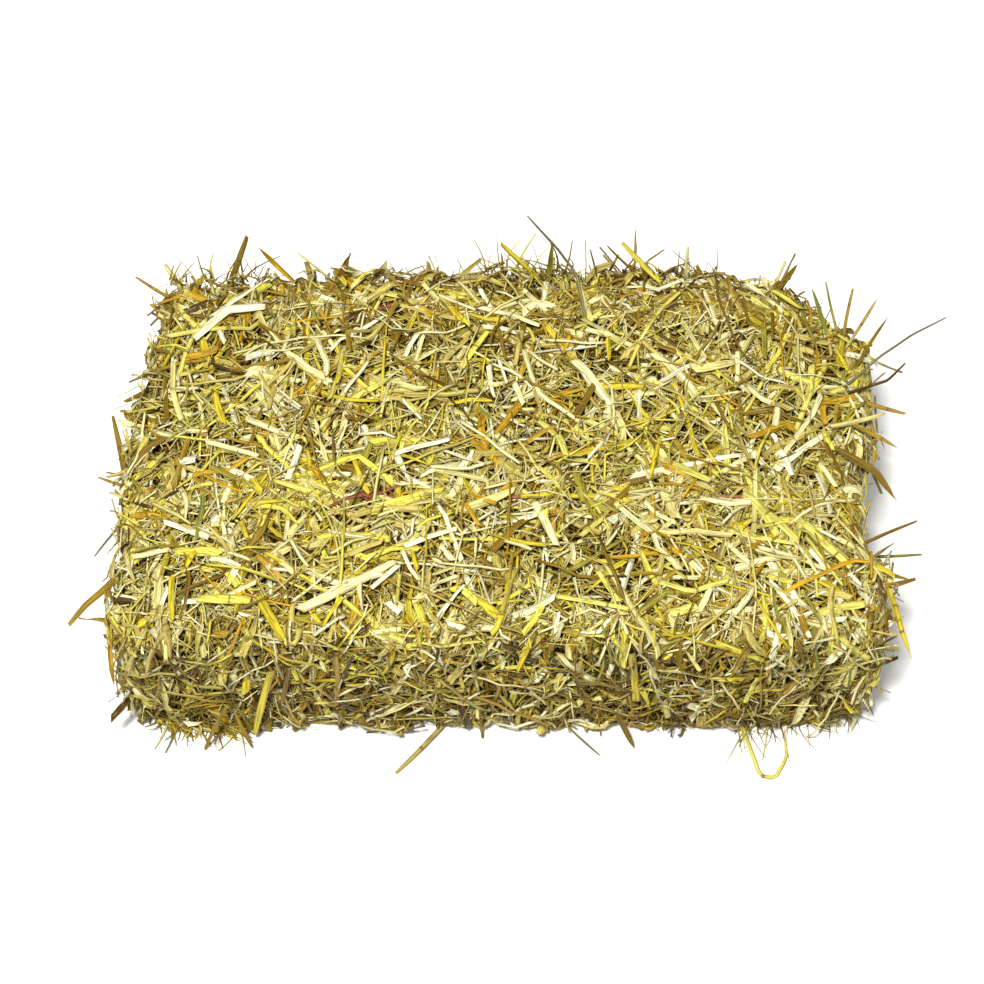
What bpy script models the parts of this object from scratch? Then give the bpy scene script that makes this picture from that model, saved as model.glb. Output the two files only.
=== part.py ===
"""A small square straw bale: pressed flakes of straw, two baling twines and its stray straws.

The flakes stand side by side along X, as the baler pressed them, and rest on a flat underside.
Each twine runs once round the bale along X, in the valley that it has drawn into the straw.
The origin is the middle of the underside. Metres, +Z up, -Y is the front.
"""
import math
import random

import bmesh
import bpy
from mathutils import Vector

# Size of the bale
LENGTH = 0.500
FLAKE_THICKNESS = (0.070, 0.072, 0.073, 0.070, 0.074, 0.072, 0.069)
FLAKE_HEIGHT = (0.141, 0.145, 0.147, 0.144, 0.146, 0.145, 0.141)
FLAKE_FRONT = (0.141, 0.144, 0.146, 0.143, 0.145, 0.146, 0.142)
FLAKE_BACK = (0.137, 0.141, 0.145, 0.146, 0.147, 0.143, 0.137)
SEAM_GAP = 0.0006
SHOULDER_RUN = 0.006
SHOULDER_DROP = 0.002

# Rounded edges of the bale: each flake's foot at the front, then the edges that are all alike
FRONT_FOOT_ROUND = (0.006, 0.014, 0.018, 0.014, 0.018, 0.016, 0.016)
TOP_ROUND = 0.012
BACK_FOOT_ROUND = 0.006
END_ROUND = 0.016
END_SIDE_SHARE = 0.4

# How far the bale's ends draw in from its full length: Y and depth, from the front to the back
LEFT_END = ((-0.150, 0.0), (0.030, 0.0), (0.058, 0.011), (0.150, 0.013))
RIGHT_END = ((-0.150, 0.004), (-0.090, 0.004), (-0.062, 0.013), (-0.012, 0.013), (0.014, 0.0),
             (0.080, 0.0), (0.112, 0.014), (0.147, 0.038))

# Twine and the valleys that it draws into the straw
TWINE_LINES = (-0.038, 0.112)
TWINE_RADIUS = 0.0015
TWINE_GAP = 0.0004
VALLEY_Z = 0.138
VALLEY_FLAT = 0.0035
VALLEY_REACH = 0.030
END_VALLEY = 0.005
GROOVE_DEPTH = 0.0045
TWINE_FLOOR_GAP = 0.0006
TWINE_TOP_BEND = 0.013
TWINE_FOOT_BEND = 0.006
KNOT_X = (-0.086, -0.077)
KNOT_SIZE = (0.011, 0.0065, 0.0058)
TAIL_RADIUS = 0.0012

# Straws fused to the flakes, and how far they stay from other pieces
STRAW_WIDTH = (0.0042, 0.0066)
STRAW_THICKNESS = 0.0020
STRAW_LENGTH = (0.028, 0.050)
STRAW_ROOT_DEPTH = 0.0045
STRAW_REACH = (0.005, 0.009)
STRAW_HOLD = 0.0030
STRAW_CLEARANCE = 0.009
TWINE_CLEARANCE = 0.010
TOP_STRAWS = 14
SIDE_STRAWS = 8
END_STRAWS = 14
LYING_GAP = 0.0010

COLOURS = {
    "straw": (0.46, 0.36, 0.13),
    "pale": (0.72, 0.62, 0.33),
    "white": (0.80, 0.74, 0.52),
    "yellow": (0.74, 0.58, 0.14),
    "golden": (0.60, 0.38, 0.07),
    "tan": (0.42, 0.28, 0.12),
    "brown": (0.24, 0.15, 0.06),
    "grey": (0.25, 0.23, 0.18),
    "green": (0.36, 0.34, 0.10),
    "red": (0.24, 0.045, 0.02),
}

# Stray straws: name, colour, width and thickness, then points from root to tip, all in mm
STRAYS = (
    ("straw_back_thick", "tan", 5, 2, ((-188, 137, 147), (-181, 141, 166), (-174, 143, 184))),
    ("straw_back_left_blade", "golden", 4, 1.5, ((-150, 137, 149), (-160, 141, 161), (-168, 143, 172))),
    ("straw_back_left_thin", "pale", 2, 2, ((-125, 138, 148), (-141, 143, 165))),
    ("straw_back_tuft", "brown", 3, 1.5, ((-112, 138, 149), (-105, 144, 162))),
    ("straw_back_middle_blade", "golden", 4, 1.5, ((22, 139, 150), (0, 145, 173))),
    ("straw_back_tall_stem", "grey", 2.5, 2,
     ((57, 113, 149), (54, 134, 153), (40, 143, 171), (18, 146, 202))),
    ("straw_back_green", "green", 3, 1.5, ((33, 132, 149), (35, 136, 186))),
    ("straw_back_thin", "brown", 2, 2, ((66, 138, 151), (62, 144, 168))),
    ("straw_back_dark", "brown", 2, 2, ((93, 139, 150), (74, 145, 170))),
    ("straw_back_yellow_blade", "yellow", 5, 1.5, ((106, 137, 151), (84, 145, 174))),
    ("straw_back_pale", "pale", 4, 1.5, ((131, 138, 148), (130, 144, 171))),
    ("straw_back_brown", "brown", 4, 1.5, ((198, 133, 144), (208, 142, 154))),
    ("straw_left_corner_low", "tan", 3, 1.5, ((-237, 127, 139), (-255, 134, 149))),
    ("straw_left_corner_high", "pale", 4, 1.5, ((-226, 133, 142), (-235, 143, 152))),
    ("straw_right_green_wide", "green", 3, 1.5, ((223, 98, 144), (216, 124, 152))),
    ("straw_right_green_thin", "green", 2, 1.5, ((231, 101, 145), (226, 126, 154))),
    ("straw_right_corner_upright", "tan", 3, 1.5, ((239, 97, 144), (244, 119, 156))),
    ("straw_right_corner_blade", "golden", 3, 1.5, ((244, 88, 145), (261, 112, 157))),
    ("straw_right_back_blade", "brown", 3, 1.5, ((249, 72, 144), (268, 100, 151))),
    ("straw_right_grey_stem", "grey", 2, 2, ((245, 56, 147), (258, 67, 151), (280, 80, 158), (304, 91, 161))),
    ("straw_right_dark_curved", "brown", 2.5, 2, ((246, 44, 146), (262, 49, 148), (275, 61, 150))),
    ("straw_right_upper_tan", "tan", 4, 1.5, ((253, 36, 137), (273, 26, 141))),
    ("straw_right_level", "pale", 3, 1.5, ((230, 14, 148), (257, 20, 151))),
    ("straw_right_lower_tan", "tan", 4, 1.5, ((241, 10, 147), (264, -6, 148))),
    ("straw_right_brown_leaf", "brown", 12, 1.2, ((229, -10, 147), (246, -25, 149), (260, -42, 141))),
    ("straw_right_spray_back", "brown", 3, 1.5, ((243, -66, 131), (274, -52, 132))),
    ("straw_right_spray_middle", "grey", 3, 1.5, ((245, -72, 121), (277, -71, 121))),
    ("straw_right_spray_front", "tan", 3, 1.5, ((247, -78, 109), (272, -84, 109))),
    ("straw_right_spray_low", "brown", 4, 1.5, ((250, -94, 120), (271, -89, 121))),
    ("straw_right_golden_leaf", "golden", 6, 1.5, ((250, -112, 136), (255, -131, 129), (262, -146, 121))),
    ("straw_left_tan", "tan", 5, 1.5, ((-254, -98, 131), (-268, -113, 131), (-277, -127, 130))),
    ("straw_left_brown", "brown", 4, 1.5, ((-254, -8, 131), (-263, 28, 135))),
    ("straw_left_short", "tan", 3, 1.5, ((-254, -22, 128), (-269, -18, 131))),
    ("straw_left_grey", "grey", 2, 2, ((-254, -50, 120), (-268, -72, 120))),
    ("straw_left_golden", "golden", 4, 1.5, ((-249, -144, 127), (-252, -152, 90))),
    ("straw_front_golden", "golden", 5, 1.5, ((-150, -150, 98), (-160, -152, 50), (-169, -153, 12))),
    ("straw_front_left", "tan", 4, 1.5, ((-188, -150, 38), (-204, -160, 3))),
    ("straw_front_left_short", "tan", 4, 1.5, ((-178, -150, 28), (-171, -160, 3))),
    ("straw_floor_tan", "tan", 6, 2, ((-47, -150, 5), (-72, -177, 2.5))),
    ("straw_floor_thin", "grey", 2, 1.5, ((54, -151, 5), (68, -164, 2.5))),
    ("straw_floor_brown", "brown", 5, 1.5, ((82, -151, 28), (92, -160, 4))),
    ("straw_floor_bent", "pale", 4, 1.5,
     ((170, -152, 4), (178, -178, 2.5), (188, -180, 2.5), (197, -165, 2.5), (196, -153, 4))),
)

# Straws lying on top: name, colour, width and thickness, then X and Y along them, in mm
LYING_STRAWS = (
    ("straw_top_white_bent", "white", 7, 1.5, ((-211, 82), (-189, 106), (-163, 109))),
    ("straw_top_yellow", "yellow", 7, 1.5, ((-191, -117), (-159, -119))),
    ("straw_top_golden", "golden", 5, 1.5, ((-154, -116), (-135, -148))),
    ("straw_top_long_pale", "pale", 5, 1.5, ((-128, -126), (-68, -91))),
    ("straw_top_bright", "yellow", 7, 1.5, ((-84, -52), (-38, -38))),
    ("straw_top_long_split", "pale", 6, 1.5, ((-28, -53), (9, -36))),
    ("straw_top_right_pale", "pale", 5, 1.5, ((22, -46), (36, -80))),
)


def smooth_step(value):
    """A step from 0 to 1 with level ends."""
    value = min(max(value, 0.0), 1.0)
    return value * value * (3 - 2 * value)


def bulge(y):
    """How much of its full height the straw has at this y: none on a twine line."""
    nearest = min(abs(y - line) for line in TWINE_LINES)
    return smooth_step((nearest - VALLEY_FLAT) / VALLEY_REACH)


def draw_in(side, y):
    """How far the bale's left (negative side) or right end lies inside its full length at this y."""
    steps = LEFT_END if side < 0 else RIGHT_END
    for (near_y, near), (far_y, far) in zip(steps, steps[1:]):
        if y <= far_y:
            return near + (far - near) * smooth_step((y - near_y) / (far_y - near_y))
    return steps[-1][1]


def flake_start(index):
    return sum(FLAKE_THICKNESS[:index]) - LENGTH / 2


def top_height(index, y):
    """Height of a flake's top at this y, with the slight waves of pressed straw."""
    wave = 0.0008 * math.sin(70 * y + 2.1 * index)
    return VALLEY_Z + bulge(y) * (FLAKE_HEIGHT[index] + wave - VALLEY_Z)


def arc_points(centre_y, centre_z, radius, start, end, steps):
    """Points of a round edge in the section, between two angles given in degrees."""
    points = []
    for step in range(steps + 1):
        angle = math.radians(start + (end - start) * step / steps)
        points.append((centre_y + radius * math.cos(angle), centre_z + radius * math.sin(angle)))
    return points


def section(index, inset):
    """One flake's outline in Y and Z, drawn in by inset, and the number of points along its top.

    The outline starts at the front end of the top, goes back along the top, down the back,
    forward along the underside and up the front. The underside's points lie below the top's.
    """
    front = -FLAKE_FRONT[index] + END_SIDE_SHARE * inset
    back = FLAKE_BACK[index] - END_SIDE_SHARE * inset
    foot = END_SIDE_SHARE * inset if inset > SHOULDER_DROP else 0.0
    inner = [-0.110, -0.088]
    for line in TWINE_LINES:
        inner += [line - 0.028, line - 0.014, line - 2 * VALLEY_FLAT]
        inner += [line - VALLEY_FLAT, line + VALLEY_FLAT]
    inner += [TWINE_LINES[0] + offset for offset in (2 * VALLEY_FLAT, 0.014, 0.028, 0.050, 0.075)]
    inner.sort()
    top_y = [front + TOP_ROUND] + inner + [back - TOP_ROUND]
    top = [(y, top_height(index, y) - inset) for y in top_y]
    front_foot_round = FRONT_FOOT_ROUND[index]
    foot_y = [front + front_foot_round] + inner + [back - BACK_FOOT_ROUND]
    under = []
    for y in reversed(foot_y):
        in_groove = min(abs(y - line) for line in TWINE_LINES) < 1.5 * VALLEY_FLAT
        under.append((y, foot + (GROOVE_DEPTH if in_groove else 0.0)))
    wave = 0.0015 * math.sin(1.9 * index)
    back_top = arc_points(top_y[-1], top[-1][1] - TOP_ROUND, TOP_ROUND, 60, 0, 2)
    back_foot = arc_points(foot_y[-1], foot + BACK_FOOT_ROUND, BACK_FOOT_ROUND, 0, -60, 2)
    front_foot = arc_points(foot_y[0], foot + front_foot_round, front_foot_round, 240, 180, 2)
    front_top = arc_points(top_y[0], top[0][1] - TOP_ROUND, TOP_ROUND, 180, 120, 2)
    back_side = [(back + wave, 0.095), (back - wave, 0.048)]
    front_side = [(front + wave, 0.048), (front - wave, 0.095)]
    outline = top + back_top + back_side + back_foot + under
    outline += front_foot + front_side + front_top
    return outline, len(top)


def stations(index):
    """Places along X where a flake's section is drawn, each with its inset from the full size."""
    start = flake_start(index)
    end = start + FLAKE_THICKNESS[index]
    left = [(start + SEAM_GAP / 2, SHOULDER_DROP), (start + SHOULDER_RUN, 0.0)]
    right = [(end - SHOULDER_RUN, 0.0), (end - SEAM_GAP / 2, SHOULDER_DROP)]
    turns = [math.radians(angle) for angle in (0, 30, 60, 90)]
    curve = [(END_ROUND * (1 - math.sin(turn)), END_ROUND * (1 - math.cos(turn))) for turn in turns]
    if index == 0:
        left = [(start + run, drop) for run, drop in reversed(curve)]
    if index == len(FLAKE_THICKNESS) - 1:
        right = [(end - run, drop) for run, drop in curve]
    return left + right


def flake_mesh(index):
    """A closed sweep of the section along X.

    Only the bale's own ends are drawn in, and have the twines' valleys.
    """
    mesh = bpy.data.meshes.new(f"flake_{index + 1}_body")
    body = bmesh.new()
    rings = []
    for x, inset in stations(index):
        outline, top_count = section(index, inset)
        in_end = abs(x) > LENGTH / 2 - END_ROUND - SEAM_GAP
        share = math.sqrt(inset / END_ROUND) if in_end else 0.0
        ring = []
        for y, z in outline:
            shift = END_VALLEY * share * (1 - bulge(y))
            if in_end:
                shift += draw_in(x, y)
            ring.append(body.verts.new((x - math.copysign(shift, x), y, z)))
        rings.append(ring)
    count = len(rings[0])
    for near, far in zip(rings, rings[1:]):
        for i in range(count):
            j = (i + 1) % count
            body.faces.new((near[i], far[i], far[j], near[j]))
    side_count = (count - 2 * top_count) // 2
    for ring in (rings[0], rings[-1]):
        for i in range(top_count - 1):
            below = 2 * top_count + side_count - 1 - i
            body.faces.new((ring[i], ring[i + 1], ring[below]))
            body.faces.new((ring[i + 1], ring[below - 1], ring[below]))
        for i in range(top_count, top_count + side_count):
            body.faces.new((ring[top_count - 1], ring[i], ring[i + 1]))
        for i in range(2 * top_count + side_count - 1, count - 1):
            body.faces.new((ring[0], ring[i], ring[i + 1]))
    bmesh.ops.recalc_face_normals(body, faces=body.faces)
    body.to_mesh(mesh)
    body.free()
    return mesh


def add_straw(mesh, points, width, thickness, flat_normal):
    """Adds a closed flat straw through the points. It narrows to its tip."""
    points = [Vector(point) for point in points]
    rings = []
    for i, point in enumerate(points):
        ahead = points[min(i + 1, len(points) - 1)]
        behind = points[max(i - 1, 0)]
        along = (ahead - behind).normalized()
        side = along.cross(flat_normal).normalized()
        up = side.cross(along)
        share = 1.0 - 0.35 * i / (len(points) - 1)
        across = side * width * share / 2
        rise = up * thickness * share / 2
        corners = (point - across - rise, point + across - rise, point + across + rise,
                   point - across + rise)
        rings.append([mesh.verts.new(corner) for corner in corners])
    for near, far in zip(rings, rings[1:]):
        for i in range(4):
            j = (i + 1) % 4
            mesh.faces.new((near[i], near[j], far[j], far[i]))
    mesh.faces.new(rings[0][::-1])
    mesh.faces.new(rings[-1])


def segment_distance(point, start, end):
    """Distance from a point to the segment between two others."""
    run = end - start
    share = min(max((point - start).dot(run) / run.length_squared, 0.0), 1.0)
    return (point - start - run * share).length


def surface_spot(index, side, chance):
    """A spot on one side of a flake, with the way that faces out there."""
    start = flake_start(index)
    x = start + FLAKE_THICKNESS[index] * chance.uniform(0.15, 0.85)
    y = chance.uniform(-FLAKE_FRONT[index] + 0.008, FLAKE_BACK[index] - 0.008)
    z = chance.uniform(0.020, FLAKE_HEIGHT[index] - 0.012)
    if side == "top":
        return Vector((x, y, top_height(index, y))), Vector((0, 0, 1))
    if side == "front":
        return Vector((x, -FLAKE_FRONT[index], z)), Vector((0, -1, 0))
    if side == "back":
        return Vector((x, FLAKE_BACK[index], z)), Vector((0, 1, 0))
    outward = -1 if index == 0 else 1
    x = outward * (LENGTH / 2 - draw_in(outward, 0.92 * y))
    return Vector((x, 0.92 * y, 0.92 * z)), Vector((outward, 0, 0))


def straw_fits(index, side, root, tip, taken):
    """True where a straw keeps to its own flake and clear of the twines and the stray straws."""
    start = flake_start(index) + 0.004
    end = flake_start(index) + FLAKE_THICKNESS[index] - 0.004
    low_x = start - 0.020 if index == 0 else start
    high_x = end + 0.020 if index == len(FLAKE_THICKNESS) - 1 else end
    if not (start < root.x < end and low_x < tip.x < high_x):
        return False
    if not (-FLAKE_FRONT[index] + STRAW_HOLD < root.y < FLAKE_BACK[index] - STRAW_HOLD):
        return False
    if not (0.012 < root.z < top_height(index, root.y) - STRAW_HOLD and tip.z > 0.006):
        return False
    if abs(root.x) > LENGTH / 2 - draw_in(root.x, root.y) - STRAW_HOLD:
        return False
    for step in range(17):
        point = root.lerp(tip, step / 16)
        if any(abs(point.y - line) < TWINE_CLEARANCE for line in TWINE_LINES):
            if side not in ("front", "back"):
                return False
        if any(segment_distance(point, *segment) < STRAW_CLEARANCE for segment in taken):
            return False
    return True


def fused_straws(index, taken):
    """One mesh of the coarse straws that stand out of a flake, in a seeded but loose order."""
    chance = random.Random(410 + index)
    sides = ["top"] * TOP_STRAWS + ["front"] * SIDE_STRAWS + ["back"] * SIDE_STRAWS
    if index in (0, len(FLAKE_THICKNESS) - 1):
        sides += ["end"] * END_STRAWS
    mesh = bmesh.new()
    for side in sides:
        for _ in range(200):
            spot, outward = surface_spot(index, side, chance)
            turn = chance.uniform(0, math.tau)
            level = outward.orthogonal().normalized()
            along = level * math.cos(turn) + outward.cross(level) * math.sin(turn)
            half = chance.uniform(*STRAW_LENGTH) / 2
            root = spot - along * half - outward * STRAW_ROOT_DEPTH
            tip = spot + along * half + outward * chance.uniform(*STRAW_REACH)
            if straw_fits(index, side, root, tip, taken):
                width = chance.uniform(*STRAW_WIDTH)
                add_straw(mesh, (root, tip), width, STRAW_THICKNESS, outward)
                break
    bmesh.ops.recalc_face_normals(mesh, faces=mesh.faces)
    result = bpy.data.meshes.new(f"flake_{index + 1}_straws")
    mesh.to_mesh(result)
    mesh.free()
    return result


def material(name, colour, roughness=0.75):
    made = bpy.data.materials.new(name)
    made.use_nodes = True
    shader = made.node_tree.nodes["Principled BSDF"]
    shader.inputs["Base Color"].default_value = (*COLOURS[colour], 1.0)
    shader.inputs["Roughness"].default_value = roughness
    shader.inputs["Metallic"].default_value = 0.0
    return made


def add_object(name, mesh, colour):
    made = bpy.data.objects.new(name, mesh)
    bpy.context.scene.collection.objects.link(made)
    mesh.materials.append(material(f"{name}_finish", colour))
    return made


def join_to(target, mesh, name):
    """Joins a closed mesh to an object as one body."""
    helper = bpy.data.objects.new(name, mesh)
    bpy.context.scene.collection.objects.link(helper)
    helper.hide_render = True
    helper.display_type = "WIRE"
    union = target.modifiers.new(name, "BOOLEAN")
    union.operation = "UNION"
    union.object = helper
    union.use_self = True


def build_flake(index, taken):
    flake = add_object(f"flake_{index + 1}", flake_mesh(index), "straw")
    join_to(flake, fused_straws(index, taken), f"flake_{index + 1}_straws")


def twine_route(line):
    """The closed way of one twine: a rectangle round the bale with its corners bent round."""
    reaches = {side: LENGTH / 2 - draw_in(side, line) - END_VALLEY + TWINE_GAP + TWINE_RADIUS
               for side in (-1, 1)}
    high = VALLEY_Z + TWINE_GAP + TWINE_RADIUS
    low = TWINE_FLOOR_GAP + TWINE_RADIUS
    corners = ((1, high, TWINE_TOP_BEND, 90, 0), (1, low, TWINE_FOOT_BEND, 0, -90),
               (-1, low, TWINE_FOOT_BEND, -90, -180), (-1, high, TWINE_TOP_BEND, -180, -270))
    route = []
    for side, z, bend, start, end in corners:
        centre_x = side * (reaches[side] - bend)
        centre_z = z - bend if z == high else z + bend
        for x, height in arc_points(centre_x, centre_z, bend, start, end, 5):
            route.append(Vector((x, line, height)))
    along_top = [Vector((-0.16, line, high)), Vector((0.0, line, high)), Vector((0.16, line, high))]
    return route + along_top


def tube_mesh(name, points, radius, closed):
    """A round tube through the points, as a mesh."""
    curve = bpy.data.curves.new(name, "CURVE")
    curve.dimensions = "3D"
    curve.bevel_depth = radius
    curve.bevel_resolution = 2
    curve.render_resolution_u = 0
    curve.use_fill_caps = not closed
    spline = curve.splines.new("POLY")
    spline.points.add(len(points) - 1)
    for place, point in zip(spline.points, points):
        place.co = (*point, 1.0)
    spline.use_cyclic_u = closed
    carrier = bpy.data.objects.new(name, curve)
    bpy.context.scene.collection.objects.link(carrier)
    mesh = bpy.data.meshes.new_from_object(carrier)
    bpy.data.objects.remove(carrier)
    return mesh


def build_twine(name, line, knot_x):
    """One twine with its knot on top of the bale and the knot's two short tails."""
    twine = add_object(name, tube_mesh(name, twine_route(line), TWINE_RADIUS, True), "red")
    knot_z = VALLEY_Z + TWINE_GAP + KNOT_SIZE[2] / 2
    knot = bmesh.new()
    bmesh.ops.create_icosphere(knot, subdivisions=2, radius=0.5)
    bmesh.ops.scale(knot, vec=KNOT_SIZE, verts=knot.verts)
    bmesh.ops.translate(knot, vec=(knot_x, line, knot_z), verts=knot.verts)
    knot_mesh = bpy.data.meshes.new(f"{name}_knot")
    knot.to_mesh(knot_mesh)
    knot.free()
    join_to(twine, knot_mesh, f"{name}_knot")
    for side in (-1, 1):
        root = Vector((knot_x + side * 0.002, line + side * 0.001, knot_z + 0.001))
        bend = root + Vector((side * 0.010, side * 0.003, 0.0015))
        tip = bend + Vector((side * 0.014, side * 0.006, 0.0030))
        tail = tube_mesh(f"{name}_tail", (root, bend, tip), TAIL_RADIUS, False)
        join_to(twine, tail, f"{name}_tail_{'left' if side < 0 else 'right'}")


def build_stray(name, colour, width, thickness, points):
    """One straw that stands or lies apart from the flakes. Its sizes are in mm."""
    points = [Vector(point) / 1000 for point in points]
    run = (points[-1] - points[0]).normalized()
    flat_normal = Vector((0, -0.35, 1)) if abs(run.z) < 0.75 else Vector((0, -1, 0.2))
    straw = bmesh.new()
    add_straw(straw, points, width / 1000, thickness / 1000, flat_normal)
    bmesh.ops.recalc_face_normals(straw, faces=straw.faces)
    mesh = bpy.data.meshes.new(name)
    straw.to_mesh(mesh)
    straw.free()
    add_object(name, mesh, colour)


def lying_points(thickness, points):
    """The way of a straw on top of the bale: it rests on the highest straw or twine below it."""
    twine_top = VALLEY_Z + TWINE_GAP + 2 * TWINE_RADIUS
    result = []
    for x, y in points:
        heights = [top_height(index, (y + side) / 1000) for index in range(len(FLAKE_HEIGHT))
                   for side in (-5, 0, 5) if abs(flake_start(index) + 0.035 - x / 1000) < 0.075]
        if min(abs(y / 1000 - line) for line in TWINE_LINES) < TWINE_CLEARANCE:
            heights.append(twine_top)
        result.append((x, y, 1000 * (max(heights) + LYING_GAP) + thickness / 2))
    return tuple(result)


for old in list(bpy.data.objects):
    bpy.data.objects.remove(old)

strays = list(STRAYS)
for straw_name, straw_colour, straw_width, straw_thickness, straw_points in LYING_STRAWS:
    lying = lying_points(straw_thickness, straw_points)
    strays.append((straw_name, straw_colour, straw_width, straw_thickness, lying))

stray_segments = []
for stray in strays:
    way = [Vector(point) / 1000 for point in stray[4]]
    stray_segments += list(zip(way, way[1:]))

for flake_index in range(len(FLAKE_THICKNESS)):
    build_flake(flake_index, stray_segments)
build_twine("twine_front", TWINE_LINES[0], KNOT_X[0])
build_twine("twine_back", TWINE_LINES[1], KNOT_X[1])
for stray in strays:
    build_stray(*stray)
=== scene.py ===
"""Looks of a small straw bale: pressed flakes, the loose straw on them, twine and stray stems.

Metres, in the bale's own frame: +Z up, the front towards -Y, the origin in the middle of the
underside. Every straw's points are worked out at once, as arrays over straw, station and ring.
"""
import math

import bpy
import numpy as np
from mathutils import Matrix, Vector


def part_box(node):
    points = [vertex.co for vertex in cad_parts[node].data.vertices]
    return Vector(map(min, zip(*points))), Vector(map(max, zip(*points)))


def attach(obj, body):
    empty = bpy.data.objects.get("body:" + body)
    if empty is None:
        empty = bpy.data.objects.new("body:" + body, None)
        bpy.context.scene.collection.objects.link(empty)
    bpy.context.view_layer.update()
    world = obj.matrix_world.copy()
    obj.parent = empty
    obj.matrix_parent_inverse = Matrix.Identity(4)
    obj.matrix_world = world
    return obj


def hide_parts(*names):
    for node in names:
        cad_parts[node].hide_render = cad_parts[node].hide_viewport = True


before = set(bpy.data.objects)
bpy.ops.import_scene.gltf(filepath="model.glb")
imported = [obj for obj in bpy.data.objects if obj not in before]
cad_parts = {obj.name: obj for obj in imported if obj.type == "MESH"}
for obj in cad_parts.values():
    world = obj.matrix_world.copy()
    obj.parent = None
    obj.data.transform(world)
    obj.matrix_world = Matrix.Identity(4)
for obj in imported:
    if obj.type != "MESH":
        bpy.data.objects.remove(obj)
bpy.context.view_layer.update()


# The floor, the light and the camera. The bale lies on a plain pale floor, lit from high in front,
# so that its shadow falls behind it. The camera looks down on it at 60 degrees.

CAMERA_PLACE = (-0.006, -0.6664, 1.2346)
CAMERA_ELEVATION = 60
CAMERA_LENS = 70.1
FLOOR_COLOUR = (0.90, 0.90, 0.89)
FLOOR_ROUGHNESS = 0.9
FLOOR_SIZE = 8.0
FLOOR_LEVEL = -0.0005
LIGHT_TARGET = (0, 0, 0.1)
KEY_LIGHT = dict(place=(-0.22, -0.62, 1.80), size=0.24, power=53, colour=(1.0, 0.99, 0.96))
FILL_LIGHT = dict(place=(0.5, 0.4, 1.9), size=1.6, power=7, colour=(1.0, 1.0, 1.0))
SKY_LIGHT = 0.32

camera = bpy.data.objects.new("camera", bpy.data.cameras.new("camera"))
camera.data.lens = CAMERA_LENS
camera.location = CAMERA_PLACE
camera.rotation_euler = (math.radians(90 - CAMERA_ELEVATION), 0, 0)
bpy.context.scene.collection.objects.link(camera)
bpy.context.scene.camera = camera

bpy.ops.mesh.primitive_plane_add(size=FLOOR_SIZE, location=(0, 0, FLOOR_LEVEL))
floor = bpy.context.object
floor.name = "floor"
floor_finish = bpy.data.materials.new("pale_floor")
floor_finish.use_nodes = True
floor_shader = floor_finish.node_tree.nodes["Principled BSDF"]
floor_shader.inputs["Base Color"].default_value = (*FLOOR_COLOUR, 1)
floor_shader.inputs["Roughness"].default_value = FLOOR_ROUGHNESS
floor.data.materials.append(floor_finish)


def add_light(name, place, size, power, colour):
    """A square area light at place that faces LIGHT_TARGET."""
    light = bpy.data.lights.new(name, "AREA")
    light.size = size
    light.energy = power
    light.color = colour
    holder = bpy.data.objects.new(name, light)
    aim = np.subtract(LIGHT_TARGET, place)
    level = math.hypot(aim[0], aim[1])
    holder.location = place
    holder.rotation_euler = (math.atan2(level, -aim[2]), 0, math.atan2(aim[0], -aim[1]) + math.pi)
    bpy.context.scene.collection.objects.link(holder)


add_light("key_light", **KEY_LIGHT)
add_light("fill_light", **FILL_LIGHT)
world = bpy.data.worlds.new("studio")
world.use_nodes = True
world.node_tree.nodes["Background"].inputs["Color"].default_value = (1, 1, 1, 1)
world.node_tree.nodes["Background"].inputs["Strength"].default_value = SKY_LIGHT
bpy.context.scene.world = world
bpy.context.scene.view_settings.view_transform = "Standard"


# The pressed mass of each flake: matted straw between the loose stems, near black with painted shade.
# It is a sweep along X of the bale's own section, a little below its surface, one for each flake.

FLAKES = [f"flake_{number}" for number in range(1, 8)]
FLAKE_THICKNESS = np.array([0.070, 0.072, 0.073, 0.070, 0.074, 0.072, 0.069])
FLAKE_HEIGHT = np.array([0.141, 0.145, 0.147, 0.144, 0.146, 0.145, 0.141])
FLAKE_FRONT = np.array([0.141, 0.144, 0.146, 0.143, 0.145, 0.146, 0.142])
FLAKE_BACK = np.array([0.137, 0.141, 0.145, 0.146, 0.147, 0.143, 0.137])
FLAKE_EDGES = np.concatenate([[0], np.cumsum(FLAKE_THICKNESS)]) - FLAKE_THICKNESS.sum() / 2
FLAKE_MIDDLES = (FLAKE_EDGES[1:] + FLAKE_EDGES[:-1]) / 2
HALF_LENGTH = FLAKE_THICKNESS.sum() / 2
EDGE_ROUND = 0.017
FRONT_FOOT_ROUND = np.array([0.006, 0.014, 0.018, 0.014, 0.018, 0.016, 0.016])
BACK_FOOT_ROUND = 0.006
FOOT_BLEND = 0.05
# How far the bale's ends draw in from its full length: Y and depth, from the front to the back
LEFT_END = ((-0.150, 0.0), (0.030, 0.0), (0.058, 0.011), (0.150, 0.013))
RIGHT_END = ((-0.150, 0.004), (-0.090, 0.004), (-0.062, 0.013), (-0.012, 0.013), (0.014, 0.0),
             (0.080, 0.0), (0.112, 0.014), (0.147, 0.038))
END_FLAKE = 0.060
TWINE_LINES = (-0.038, 0.112)
VALLEY_DEPTH = 0.0015
VALLEY_FLAT = 0.0035
VALLEY_REACH = 0.026
VALLEY_FADE = 0.02
OPENING_DEPTH = 0.0045
OPENING_FLAT = 0.0022
OPENING_REACH = 0.006
OPENING_LOWEST = 0.1
# Where the twines show: the twine's line, and from where to where along X
TWINE_OPENINGS = ((-0.038, -0.098, -0.066), (-0.038, -0.004, 0.022), (-0.038, 0.044, 0.066),
                  (-0.038, 0.146, 0.158), (0.112, -0.080, -0.070))
CORNER_DROP = 0.012
CORNER_FROM = (0.180, 0.080, 0.06)
CORNER_BLEND = (0.055, 0.050, 0.05)
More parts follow.
